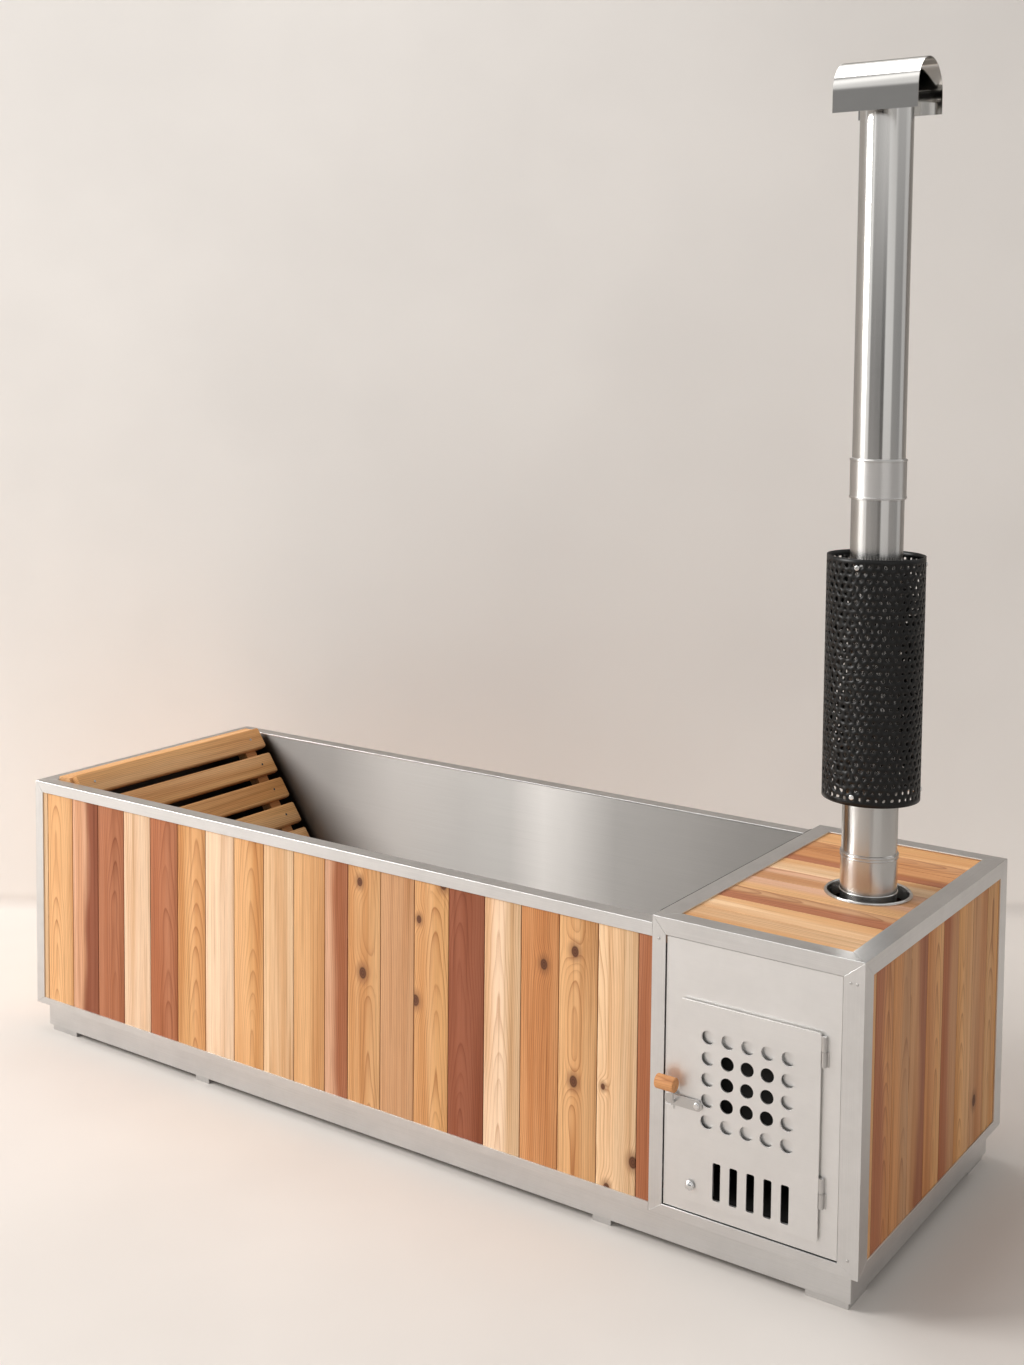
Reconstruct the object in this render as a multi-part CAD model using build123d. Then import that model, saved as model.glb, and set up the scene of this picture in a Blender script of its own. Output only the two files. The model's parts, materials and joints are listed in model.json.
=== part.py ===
from build123d import *
from math import cos, pi, radians, sin, tan
import os

# Wood-burning hot tub: a steel bath clad in timber boards, with a stove built into one end.
# X runs from the head end to the stove end, Y from front to back, Z up from the floor.
# Everything is first laid out from the front corner at the head end, in millimetres.
# The origin of the finished part is on the floor, in the middle of the whole footprint.

# Overall sizes
length = 2050.0
width = 720.0
stove_length = 400.0
rim_height = 600.0
stove_rise = 14.0
sheet = 2.0
angle_wall = 3.0
gap = 0.3

# Plinth and feet
foot_height = 14.0
foot_depth = 80.0
corner_foot_length = 80.0
middle_foot_length = 40.0
foot_inset = 6.0
plinth_height = 56.0
plinth_setback = 20.0
plinth_flange = 30.0
bearer_width = 40.0
bearer_count = 4

# Angle bars of the tub and of the stove
tub_post_face = 25.0
tub_sill_face = 16.0
sill_ledge = 30.0
rim_face = 25.0
rim_width = 35.0
stove_post_narrow = 27.0
stove_post_wide = 38.0
stove_sill_face = 20.0
stove_rail_face = 31.0

# Timber
board_thickness = 18.0
board_cover = 84.5
board_groove = 2.5
tongue_length = 5.0
tongue_thickness = 5.0
front_first_board = 36.0
front_ripped_board = 61.0
boards_before_ripped_count = 10
end_first_board = 53.0
deck_thickness = 22.0
deck_board_cover = 71.6
batten_height = 45.0
batten_rows = 3
ledger_width = 34.0
ledger_height = 22.0

# Tub, its base and its fittings
base_thickness = 18.0
tub_bend = 15.0
seal_width = 4.0
seal_rise = 12.0
drain_from_bearer = 67.5
waste_radius = 20.0
waste_bore = 17.0
waste_flange_radius = 35.0
waste_flange_thickness = 3.0
waste_outlet_height = 26.0
plug_radius = 16.0
plug_height = 16.0
pull_ring_radius = 11.0
pull_ring_wire = 1.5
port_radius = 21.0
port_bore = 19.0
port_flange_radius = 32.0
port_low = 170.0
port_high = 440.0

# Stove: door opening, firebox and water jacket
door_width = 265.0
door_height = 362.0
door_left = 62.0
door_bottom = 116.0
door_lap = 12.0
door_thickness = 3.0
door_standoff = 4.0
door_corner = 3.0
chamber_wall = 5.0
chamber_depth = 520.0
jacket_gap = 20.0
jacket_wall = 3.0
jacket_above = 30.0
firebox_leg = 20.0
grate_height = 82.0
grate_bars = 9
grate_bar_width = 14.0
grate_thickness = 10.0
grate_ledge = 12.0

# Door details
vent_pitch = 38.0
vent_diameter = 25.0
vent_rows = 5
vent_centre_x = 130.0
vent_centre_z = 227.0
slot_count = 5
slot_pitch = 32.5
slot_width = 15.0
slot_height = 68.0
slot_centre_x = 140.0
slot_centre_z = 48.0
slot_corner = 3.0
tray_depth = 7.0
tray_clearance = 5.0
tray_sheet = 2.0
shield_thickness = 3.0
shield_space = 16.0
shield_stud_radius = 5.0
seal_rope = 5.0
stud_x = 24.0
stud_z = 29.0
stud_radius = 9.0

# Door hinges: two weld-on barrel hinges on the right edge
barrel_radius = 4.5
barrel_half = 26.0
barrel_gap = 0.6
hinge_pin_radius = 2.5
hinge_running = 0.05
hinge_low = 60.0
hinge_high = 305.0
hinge_lug = 3.0

# Latch: a bar that drops on a keeper, with a turned wood grip on a bent rod
latch_pivot_x = 36.0
latch_pivot_z = 177.0
latch_reach = 64.0
latch_tail = 10.0
latch_height = 20.0
latch_thickness = 3.0
latch_space = 1.0
pivot_radius = 3.0
pivot_running = 0.08
pivot_head_radius = 6.5
rod_radius = 2.5
rod_bend = 7.0
grip_radius = 13.0
grip_length = 38.0
grip_standoff = 16.0
grip_rise = 32.0
grip_from_pivot = 54.0
rod_from_pivot = 42.0
keeper_width = 12.0

# Flue
flue_x = 256.0
flue_wall = 1.2
spigot_radius = 48.0
base_pipe_radius = 51.0
socket_radius = 52.5
socket_top = 78.0
socket_bead = 3.0
socket_lip = 2.0
neck_taper = 12.0
upper_pipe_radius = 48.0
base_pipe_top = 390.0
coupling_bottom = 735.0
coupling_height = 74.0
coupling_radius = 51.0
coupling_bead = 1.5
flue_top = 1462.0
insertion = 40.0
collar_radius = 81.5
collar_bore = 75.0
collar_rise = 4.0
collar_wall = 2.0

# Perforated heat guard
guard_radius = 89.5
guard_wall = 2.0
guard_bottom = 180.0
guard_height = 451.0
guard_hole_rows = 12
guard_holes_round = 14
guard_hole_size = 11.0
guard_margin = 14.0
spacer_radius = 5.0
spacer_from_end = 16.0

# Rain cap: a saddle of polished sheet
cap_length = 160.0
cap_width = 120.0
cap_skirt = 36.0
cap_bottom = 1433.0
cap_sheet = 1.5
strap_width = 20.0
strap_sheet = 2.0
strap_foot = 22.0

# Backrest
recline = 35.0
slat_count = 8
slat_width = 55.0
slat_pitch = 72.0
slat_thickness = 18.0
slat_corner = 6.0
slat_side_space = 14.0
backrest_rise = 6.0
backrest_head = 34.0
backrest_batten_width = 36.0
backrest_batten_depth = 28.0
backrest_batten_inset = 44.0
top_rail_depth = 24.0
top_rail_height = 20.0
screw_radius = 3.0
screw_head = 1.2

# Rivets at the corners of the stove's front
rivet_radius = 2.5
rivet_head = 1.0
rivet_from_rail = 9.0
rivet_from_floor = 30.0

# Places that follow from the sizes above
frame_base = foot_height + plinth_height
stove_height = rim_height + stove_rise
backrest_top = rim_height + backrest_rise
stove_x = length - stove_length
flue_centre_x = stove_x + flue_x
flue_centre_y = width / 2
ledge_top = frame_base + angle_wall
board_back = angle_wall + board_thickness
tub_inside = rim_width
tub_outside = tub_inside - sheet
tub_end = stove_x - gap
base_top = ledge_top + base_thickness
tub_floor = base_top + gap
door_x = stove_x + door_left
opening_x0 = door_x + door_lap
opening_x1 = door_x + door_width - door_lap
opening_z0 = door_bottom + door_lap
opening_z1 = door_bottom + door_height - door_lap
panel_front = angle_wall
panel_back = panel_front + sheet
door_back = panel_front - door_standoff
door_front = door_back - door_thickness
flange_front = panel_back + gap
chamber_top = opening_z1 + chamber_wall
jacket_top = chamber_top + jacket_above
deck_top = stove_height - angle_wall
hinge_x = door_x + door_width + barrel_radius + gap
hinge_y = panel_front - barrel_radius
pivot_x = door_x + latch_pivot_x
pivot_z = door_bottom + latch_pivot_z
bar_back = door_front - latch_space
bar_front = bar_back - latch_thickness
grip_y = door_front - grip_standoff
handle_reach = grip_radius - grip_y
front_y = -(width - handle_reach) / 2

# Basic solids


def block(x0, x1, y0, y1, z0, z1):
    """A rectangular block between two corners."""
    return Pos((x0 + x1) / 2, (y0 + y1) / 2, (z0 + z1) / 2) * Box(x1 - x0, y1 - y0, z1 - z0)


def prism(plane, points, depth):
    """A straight-sided outline, drawn on a plane and pushed along its normal."""
    return extrude(plane * make_face(Polyline(*points, close=True)), amount=depth)


def front_plane(y):
    """Outlines in X and Z, pushed towards the back."""
    return Plane(origin=(0, y, 0), x_dir=(-1, 0, 0), z_dir=(0, 1, 0))


def front_plate(points, y, depth):
    return prism(front_plane(y), [(-x, z) for x, z in points], depth)


def end_plate(points, x, depth):
    """Outlines in Y and Z, pushed towards the stove end."""
    return prism(Plane(origin=(x, 0, 0), x_dir=(0, 1, 0), z_dir=(1, 0, 0)), points, depth)


def level_plate(points, z, depth):
    """Outlines in X and Y, pushed upwards."""
    return prism(Plane.XY.offset(z), points, depth)


def upright(radius, z0, z1, x=0.0, y=0.0):
    return Pos(x, y, (z0 + z1) / 2) * Cylinder(radius, z1 - z0)


def along_y(radius, y0, y1, x, z):
    return Pos(x, (y0 + y1) / 2, z) * Rot(90, 0, 0) * Cylinder(radius, y1 - y0)


def along_x(radius, x0, x1, y, z):
    return Pos((x0 + x1) / 2, y, z) * Rot(0, 90, 0) * Cylinder(radius, x1 - x0)


def turned(points, place):
    """A half section of radius and height, turned about the upright axis."""
    section = make_face(Polyline(*points, close=True))
    return place * revolve(Plane.XZ * section, axis=Axis.Z)


def mirrored(shape):
    """The same piece on the other side of the tub's long middle plane."""
    return Pos(0, width, 0) * mirror(shape, about=Plane.XZ)


def save(name, *pieces):
    """Write one named piece, or a group of like pieces, moved to the part's own origin."""
    home = Pos(-length / 2, front_y, 0)
    solids = [solid for piece in pieces for solid in piece.solids()]
    shape = home * solids[0] if len(solids) == 1 else Compound(children=[home * s for s in solids])
    export_step(shape, f"parts/{name}.step")


# Plinth, feet and base


def plinth_rail(run, setback_outline):
    """A folded channel, web outwards, with mitred ends given by its outline from above."""
    web, flange = setback_outline
    z0 = foot_height
    z1 = frame_base
    channel = level_plate(flange, z0, angle_wall) + level_plate(flange, z1 - angle_wall, angle_wall)
    return channel + level_plate(web, z0, run)


def mitred_strip(u0, u1, v, depth):
    """A strip along u at v, as deep as depth, whose two ends are cut at 45 degrees."""
    return [(u0, v), (u1, v), (u1 - depth, v + depth), (u0 + depth, v + depth)]


def plinth_long_rail():
    x0 = plinth_setback
    x1 = length - plinth_setback
    web = mitred_strip(x0, x1, plinth_setback, angle_wall)
    flange = mitred_strip(x0, x1, plinth_setback, plinth_flange)
    return plinth_rail(plinth_height, (web, flange))


def plinth_end_rail():
    y0 = plinth_setback
    y1 = width - plinth_setback
    web = [(v, u) for u, v in mitred_strip(y0, y1, plinth_setback, angle_wall)]
    flange = [(v, u) for u, v in mitred_strip(y0, y1, plinth_setback, plinth_flange)]
    return plinth_rail(plinth_height, (web, flange))


def swapped_end(shape):
    """The same piece at the other end of the frame."""
    return Pos(length, 0, 0) * mirror(shape, about=Plane.YZ)


def foot_places():
    """Each foot's start and length along the plinth: long ones at the corners, short between."""
    x0 = plinth_setback + foot_inset
    x1 = length - plinth_setback - foot_inset - corner_foot_length
    run = length / bearer_count
    middle = [run * i - middle_foot_length / 2 for i in range(1, bearer_count) if i % 2]
    return [(x0, corner_foot_length), (x1, corner_foot_length)] + [(x, middle_foot_length) for x in middle]


def feet():
    y0 = plinth_setback + foot_inset
    front = [block(x, x + run, y0, y0 + foot_depth, 0, foot_height) for x, run in foot_places()]
    return front + [mirrored(foot) for foot in front]


def cross_bearers():
    """Square tubes across the plinth, held between the flanges of its channels."""
    z0 = foot_height + angle_wall + gap
    z1 = frame_base - angle_wall - gap
    y0 = plinth_setback + angle_wall + gap
    bearers = []
    for x, run in foot_places():
        x0 = min(max(x + run / 2 - bearer_width / 2, 2 * plinth_setback + plinth_flange),
                 length - 2 * plinth_setback - plinth_flange - bearer_width)
        outer = block(x0, x0 + bearer_width, y0, width - y0, z0, z1)
        inner = block(x0 + sheet, x0 + bearer_width - sheet, y0, width - y0, z0 + sheet, z1 - sheet)
        bearers.append(outer - inner)
    return bearers


def base_panel():
    """The panel that carries the tub's weight, on the ledges of the sills."""
    edge = board_back + gap
    panel = block(edge, stove_x - gap, edge, width - edge, ledge_top, base_top)
    return panel - upright(waste_radius + 2, 0, rim_height, *drain_place())


def drain_place():
    x, run = foot_places()[-1]
    return x + run / 2 - drain_from_bearer, width / 2


def stove_base_plate():
    """The steel floor of the stove's compartment, on the ledges of its sills."""
    edge = angle_wall + gap
    return block(stove_x + edge, length - board_back - gap, panel_back + gap, width - board_back - gap,
                 ledge_top, ledge_top + angle_wall)


# Frames of angle bar


def picture_frame(u0, u1, v0, v1, left, right, low, high):
    """The four mitred outlines of a rectangular frame: left, right, low and high members."""
    return {
        "left": [(u0, v0), (u0 + left, v0 + low), (u0 + left, v1 - high), (u0, v1)],
        "right": [(u1, v0), (u1, v1), (u1 - right, v1 - high), (u1 - right, v0 + low)],
        "low": [(u0, v0), (u1, v0), (u1 - right, v0 + low), (u0 + left, v0 + low)],
        "high": [(u0, v1), (u0 + left, v1 - high), (u1 - right, v1 - high), (u1, v1)],
    }


def tub_faces():
    """Mitred outlines of the tub's front, head end and rim."""
    front = picture_frame(0, stove_x - gap, frame_base, rim_height, tub_post_face, 0,
                          tub_sill_face, rim_face)
    head = picture_frame(0, width, frame_base, rim_height, tub_post_face, tub_post_face,
                         tub_sill_face, rim_face)
    top = picture_frame(0, stove_x - gap, 0, width, rim_width, 0, rim_width, rim_width)
    floor = picture_frame(0, stove_x - gap, 0, width, sill_ledge, 0, sill_ledge, sill_ledge)
    return front, head, top, floor


def tub_rims():
    """Front, back and head rims: a flat top with its edge turned down, mitred at the corners."""
    front, head, top, _ = tub_faces()
    under = rim_height - angle_wall
    front_rim = front_plate(front["high"], 0, angle_wall) + level_plate(top["low"], under, angle_wall)
    head_rim = end_plate(head["high"], 0, angle_wall) + level_plate(top["left"], under, angle_wall)
    return front_rim, mirrored(front_rim), head_rim - front_rim - mirrored(front_rim)


def tub_sills():
    """Front, back and head sills, whose ledges carry the boards and the base panel."""
    front, head, _, floor = tub_faces()
    long_sill = front_plate(front["low"], 0, angle_wall)
    long_sill += level_plate(floor["low"], frame_base, angle_wall)
    head_sill = end_plate(head["low"], 0, angle_wall)
    head_sill += level_plate(floor["left"], frame_base, angle_wall)
    back_sill = mirrored(long_sill)
    return long_sill, back_sill, head_sill - long_sill - back_sill


def tub_posts(others):
    front, head, _, _ = tub_faces()
    post = front_plate(front["left"], 0, angle_wall) + end_plate(head["left"], 0, angle_wall)
    for other in others:
        post -= other
    return post, mirrored(post)


def stove_faces():
    """Mitred outlines of the stove's front, ends, top and floor."""
    front = picture_frame(stove_x, length, frame_base, stove_height, stove_post_narrow,
                          stove_post_wide, stove_sill_face, stove_rail_face)
    end = picture_frame(0, width, frame_base, stove_height, stove_post_wide, stove_post_wide,
                        stove_sill_face, stove_rail_face)
    top = picture_frame(stove_x, length, 0, width, *[stove_post_wide] * 4)
    floor = picture_frame(stove_x, length, 0, width, *[sill_ledge] * 4)
    return front, end, top, floor


def stove_rails():
    """Long and cross rails round the deck: the cross ones are cut to the long ones."""
    front, end, top, _ = stove_faces()
    under = stove_height - angle_wall
    rail = front_plate(front["high"], 0, angle_wall) + level_plate(top["low"], under, angle_wall)
    back = mirrored(rail)
    near = end_plate(end["high"], stove_x, angle_wall) + level_plate(top["left"], under, angle_wall)
    far = end_plate(end["high"], length - angle_wall, angle_wall)
    far += level_plate(top["right"], under, angle_wall)
    return (rail, back), (near - rail - back, far - rail - back)


def stove_sills():
    front, end, _, floor = stove_faces()
    sill = front_plate(front["low"], 0, angle_wall) + level_plate(floor["low"], frame_base, angle_wall)
    back = mirrored(sill)
    near = end_plate(end["low"], stove_x, angle_wall)
    near += level_plate(floor["left"], frame_base, angle_wall)
    far = end_plate(end["low"], length - angle_wall, angle_wall)
    far += level_plate(floor["right"], frame_base, angle_wall)
    return (sill, back), (near - sill - back, far - sill - back)


def stove_posts(others):
    """A narrow and a wide post at the front, cut to the rails and sills, and their mirrors."""
    front, end, _, _ = stove_faces()
    near = front_plate(front["left"], 0, angle_wall) + end_plate(end["left"], stove_x, angle_wall)
    far = front_plate(front["right"], 0, angle_wall)
    far += end_plate(end["left"], length - angle_wall, angle_wall)
    for other in others:
        near -= other
        far -= other
    return (near, mirrored(near)), (far, mirrored(far))


# Timber cladding


def board_outline(run, plain_start, plain_end):
    """Section of a tongued and grooved board: faces at 0 and the thickness, joints eased."""
    t = board_thickness
    low = (t - tongue_thickness) / 2
    high = (t + tongue_thickness) / 2
    start = [(0, t), (0, 0)] if plain_start else [
        (0, t), (0, high + gap), (tongue_length + gap, high + gap), (tongue_length + gap, low - gap),
        (0, low - gap), (0, board_groove), (board_groove, 0)]
    end = [(run, 0), (run, t)] if plain_end else [
        (run - board_groove, 0), (run, board_groove), (run, low), (run + tongue_length, low),
        (run + tongue_length, high), (run, high), (run, t)]
    return start + end


def board_row(start, end, widths):
    """Places and widths of boards laid side by side from start, the last ripped to reach end."""
    places = []
    u = start
    for run in widths:
        if end - u <= run + board_groove * 2:
            break
        places.append((u, run - gap))
        u += run
    places.append((u, end - u))
    return places


def even_cover(field, cover):
    """The width that fills a field evenly with boards as near as possible to their cover."""
    return field / round(field / cover)


def standing_boards(row, z0, z1):
    """Upright boards along X, faces towards the front, at the front face of the frame."""
    boards = []
    for i, (u, run) in enumerate(row):
        outline = board_outline(run, i == 0, i == len(row) - 1)
        points = [(u + a, panel_front + b) for a, b in outline]
        boards.append(level_plate(points, z0, z1 - z0))
    return boards


def front_boards():
    z0 = ledge_top + gap
    z1 = rim_height - angle_wall - sheet - gap
    full = [board_cover] * int(length / board_cover)
    widths = [front_first_board] + full[:boards_before_ripped_count] + [front_ripped_board] + full
    row = board_row(angle_wall + gap, stove_x - gap, widths)
    return standing_boards(row, z0, z1)


def end_row(y0, y1):
    """Boards across an end: a ripped one at the front, then an even run to the back."""
    cover = even_cover(y1 - y0 - end_first_board, board_cover)
    return board_row(y0, y1, [end_first_board] + [cover] * int(width / cover))


def end_boards(x, towards, z0, z1):
    """Upright boards along Y, their faces at x, looking away from the middle of the tub."""
    y0 = board_back + gap
    y1 = width - board_back - gap
    if towards > 0:
        y0 = panel_back + gap
    row = end_row(y0, y1)
    boards = []
    for i, (u, run) in enumerate(row):
        outline = board_outline(run, i == 0, i == len(row) - 1)
        points = [(x - towards * b, u + a) for a, b in outline]
        boards.append(level_plate(points, z0, z1 - z0))
    return boards


def stove_back_boards():
    """Boards behind the stove, laid as on the front face and then turned to the back."""
    z0 = ledge_top + gap
    z1 = deck_top - gap
    x0 = stove_x + angle_wall + gap
    x1 = length - angle_wall - gap
    cover = even_cover(x1 - x0, board_cover)
    row = board_row(x0, x1, [cover] * int(stove_length / cover + 1))
    return [mirrored(board) for board in standing_boards(row, z0, z1)]


def batten_heights(z0, z1):
    """The lower edges of evenly spread battens between two heights."""
    span = z1 - z0 - batten_height
    return [z0 + span * i / (batten_rows - 1) for i in range(batten_rows)]


def cladding_battens():
    """Level battens behind the boards: the tub's rest against its walls."""
    y0 = board_back
    y1 = tub_outside - gap
    low = base_top + batten_height
    high = rim_height - rim_face - gap
    battens = []
    for z in batten_heights(low, high):
        long_one = block(tub_outside, tub_end, y0, y1, z, z + batten_height)
        head_one = block(y0, y1, tub_outside, width - tub_outside, z, z + batten_height)
        battens += [long_one, mirrored(long_one), head_one]
    far = length - board_back
    depth = y1 - y0
    for z in batten_heights(low, stove_height - stove_rail_face - ledger_height - deck_thickness):
        battens.append(block(far - depth, far, panel_back + gap, width - board_back - gap,
                             z, z + batten_height))
    return battens


def deck_ledgers():
    """Battens inside the cross rails, on which the deck boards lie."""
    top = deck_top - deck_thickness
    edge = angle_wall + gap
    y0 = panel_back + gap
    y1 = width - board_back - gap
    near = block(stove_x + edge, stove_x + ledger_width, y0, y1, top - ledger_height, top)
    far_x = length - board_back - gap
    far = block(far_x - ledger_width, far_x, y0, y1, top - ledger_height, top)
    return near, far


def deck_boards():
    """Boards along X between the rails, cut round the flue's collar."""
    y0 = panel_back + gap
    y1 = width - board_back - gap
    x0 = stove_x + angle_wall + gap
    x1 = length - board_back - gap
    cover = even_cover(width - 2 * stove_post_wide, deck_board_cover)
    first = stove_post_wide - y0 + cover
    row = board_row(y0, y1, [first] + [cover] * int(width / cover))
    hole = upright(collar_bore + collar_wall + gap, 0, stove_height, flue_centre_x, flue_centre_y)
    boards = []
    for u, run in row:
        ease = board_groove / 2
        points = [(u, deck_top - deck_thickness), (u + run, deck_top - deck_thickness),
                  (u + run, deck_top - ease), (u + run - ease, deck_top), (u + ease, deck_top),
                  (u, deck_top - ease)]
        boards.append(end_plate(points, x0, x1 - x0) - hole)
    return boards


# The tub and its fittings


def tub_block(side, floor, bend):
    """The tub's outer or inner form, with its floor bends rounded."""
    form = block(side, tub_end - (side - tub_outside), side, width - side, floor, rim_height)
    low = form.edges().group_by(Axis.Z)[0]
    return fillet(low, bend)


def tub():
    """The folded and welded tub, with a flange that lies under the rims."""
    body = tub_block(tub_outside, tub_floor, tub_bend + sheet)
    under = rim_height - angle_wall
    edge = angle_wall + gap
    body -= block(0, length, 0, width, under, stove_height) - block(
        tub_end - sheet, tub_end, rim_width + gap, width - rim_width - gap, 0, stove_height)
    body += block(edge, tub_end, edge, width - edge, under - sheet, under)
    body -= tub_block(tub_inside, tub_floor + sheet, tub_bend)
    drain_x, drain_y = drain_place()
    body -= upright(waste_radius + gap, 0, rim_height, drain_x, drain_y)
    for z in (port_low, port_high):
        body -= along_x(port_radius + gap, stove_x - 3 * sheet, length, width / 2, z)
    return body


def rim_seal():
    """The strip that closes the joint between the tub's end wall and the stove's rail."""
    y0 = rim_width
    x1 = stove_x - gap
    return block(x1 - seal_width, x1, y0, width - y0, rim_height, rim_height + seal_rise)


def drain_waste():
    """A flanged waste through the tub's floor, with its locknut under the base panel."""
    top = tub_floor + sheet + waste_flange_thickness
    nut_top = ledge_top - gap
    nut = 8.0
    section = [(waste_bore, waste_outlet_height), (waste_radius, waste_outlet_height),
               (waste_radius, top - waste_flange_thickness),
               (waste_flange_radius, top - waste_flange_thickness),
               (waste_flange_radius - 2, top), (waste_bore + 2, top), (waste_bore, top - 2)]
    body = turned(section, Pos(*drain_place(), 0))
    locknut = extrude(Plane.XY.offset(nut_top - nut) * RegularPolygon(waste_radius + 9, 6), amount=nut)
    locknut -= Cylinder(waste_radius + hinge_running, 4 * frame_base)
    return body, Pos(*drain_place(), 0) * locknut


def drain_plug():
    """A tapered stopper with a shoulder and a pull ring."""
    seat = tub_floor + sheet + waste_flange_thickness
    section = [(0, seat - plug_height), (plug_radius - 1.5, seat - plug_height),
               (plug_radius, seat + gap), (plug_radius + 5, seat + gap),
               (plug_radius + 4, seat + 4), (4, seat + 5), (4, seat + 7), (0, seat + 7)]
    stopper = turned(section, Pos(*drain_place(), 0))
    ring = Pos(*drain_place(), seat + 6 + pull_ring_radius) * Rot(90, 0, 0) * Torus(
        pull_ring_radius, pull_ring_wire)
    return stopper + ring


def circulation_pipe(z):
    """A flanged pipe between the tub's end wall and the water jacket."""
    x0 = tub_end - sheet
    x1 = opening_x0 - chamber_wall - jacket_gap - jacket_wall - gap
    flange = along_x(port_flange_radius, x0 - angle_wall, x0, width / 2, z)
    pipe = flange + along_x(port_radius, x0 - angle_wall, x1, width / 2, z)
    return pipe - along_x(port_bore, x0 - 2 * angle_wall, x1 + 1, width / 2, z)


# The stove


def stove_front_panel():
    """The sheet behind the front frame, with the door's opening."""
    edge = angle_wall + gap
    panel = block(stove_x + edge, length - edge, panel_front, panel_back, ledge_top, deck_top - gap)
    opening = block(opening_x0, opening_x1, -length, length, opening_z0, opening_z1)
    return panel - opening


def fire_chamber():
    """The welded fire chamber: front flange, five plates, grate ledges and the flue's spigot."""
    wall = chamber_wall
    y0 = flange_front
    y1 = y0 + chamber_depth
    reach = chamber_wall + jacket_gap + jacket_wall
    body = block(opening_x0 - reach, opening_x1 + reach, y0, y0 + wall, opening_z0 - wall - firebox_inset(),
                 jacket_top)
    body += block(opening_x0 - wall, opening_x1 + wall, y0, y1, opening_z0 - wall, chamber_top)
    body += upright(spigot_radius - 1, chamber_top - 1, stove_height - 2 * deck_thickness,
                    flue_centre_x, flue_centre_y)
    body -= block(opening_x0, opening_x1, y0 - 1, y1 - wall, opening_z0, opening_z1)
    body -= upright(spigot_radius - 1 - 2 * flue_wall, opening_z0 + wall, stove_height,
                    flue_centre_x, flue_centre_y)
    ledge_z = opening_z0 + grate_height - chamber_wall
    for x in (opening_x0, opening_x1 - grate_ledge):
        body += block(x, x + grate_ledge, y0 + 2 * grate_ledge + shield_space, y1 - wall, ledge_z,
                      ledge_z + chamber_wall)
    return body


def firebox_inset():
    """How far the flange and the jacket reach below the fire chamber."""
    return opening_z0 - chamber_wall - (ledge_top + angle_wall + firebox_leg)


def water_jacket():
    """The shell round the fire chamber that holds the water to be heated, on four legs."""
    y0 = flange_front + chamber_wall
    y1 = flange_front + chamber_depth + jacket_gap + jacket_wall
    reach = chamber_wall + jacket_gap + jacket_wall
    z0 = opening_z0 - chamber_wall - firebox_inset()
    outer = block(opening_x0 - reach, opening_x1 + reach, y0, y1, z0, jacket_top)
    w = jacket_wall
    inner = block(opening_x0 - reach + w, opening_x1 + reach - w, y0 - 1, y1 - w, z0 + w, jacket_top - w)
    shell = outer - inner - upright(spigot_radius - 1 + gap, opening_z1, stove_height,
                                    flue_centre_x, flue_centre_y)
    for z in (port_low, port_high):
        shell -= along_x(port_bore, stove_x, opening_x0 - chamber_wall - gap, width / 2, z)
    leg = firebox_leg
    foot_z = ledge_top + angle_wall
    for x in (opening_x0 - reach, opening_x1 + reach - leg):
        for y in (y0, y1 - leg):
            shell += block(x, x + leg, y, y + leg, foot_z + gap, z0)
    return shell


def fire_grate():
    """A cast grate of tapered bars between two end bars, lying on the chamber's ledges."""
    x0 = opening_x0 + gap * 4
    x1 = opening_x1 - gap * 4
    y0 = flange_front + 2 * grate_ledge + shield_space + gap
    y1 = flange_front + chamber_depth - chamber_wall - 2 * gap
    z0 = opening_z0 + grate_height + gap
    z1 = z0 + grate_thickness
    grate = block(x0, x1, y0, y0 + grate_bar_width, z0, z1)
    grate += block(x0, x1, y1 - grate_bar_width, y1, z0, z1)
    step = (x1 - x0 - grate_bar_width) / (grate_bars - 1)
    taper = grate_bar_width / 5
    for i in range(grate_bars):
        u = x0 + i * step
        bar = [(u, z1), (u + taper, z0), (u + grate_bar_width - taper, z0), (u + grate_bar_width, z1)]
        grate += front_plate(bar, y0, y1 - y0)
    return grate


# The fire door


def door_holes(y0, y1):
    """The square pattern of round vents and the row of upright slots under it."""
    cutters = []
    for i in range(vent_rows):
        for j in range(vent_rows):
            x = door_x + vent_centre_x + (i - (vent_rows - 1) / 2) * vent_pitch
            z = door_bottom + vent_centre_z + (j - (vent_rows - 1) / 2) * vent_pitch
            cutters.append(along_y(vent_diameter / 2, y0, y1, x, z))
    for i in range(slot_count):
        x = door_x + slot_centre_x + (i - (slot_count - 1) / 2) * slot_pitch
        z = door_bottom + slot_centre_z
        outline = Pos(-x, z) * RectangleRounded(slot_width, slot_height, slot_corner)
        cutters.append(extrude(front_plane(y0) * outline, amount=y1 - y0))
    return cutters


def fire_door_plate():
    centre = Pos(-(door_x + door_width / 2), door_bottom + door_height / 2)
    outline = centre * RectangleRounded(door_width, door_height, door_corner)
    plate = extrude(front_plane(door_front) * outline, amount=door_thickness)
    plate -= door_holes(door_front - 1, door_back + 1)
    return plate - along_y(pivot_radius, door_front - 1, door_back + 1, pivot_x, pivot_z)


def tray_edges():
    return (opening_x0 + tray_clearance, opening_x1 - tray_clearance,
            opening_z0 + tray_clearance, opening_z1 - tray_clearance)


def window_edges():
    """The opening in the tray behind the middle nine vents."""
    half = (vent_rows - 2) * vent_pitch / 2
    x = door_x + vent_centre_x
    z = door_bottom + vent_centre_z
    return x - half, x + half, z - half, z + half


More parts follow.
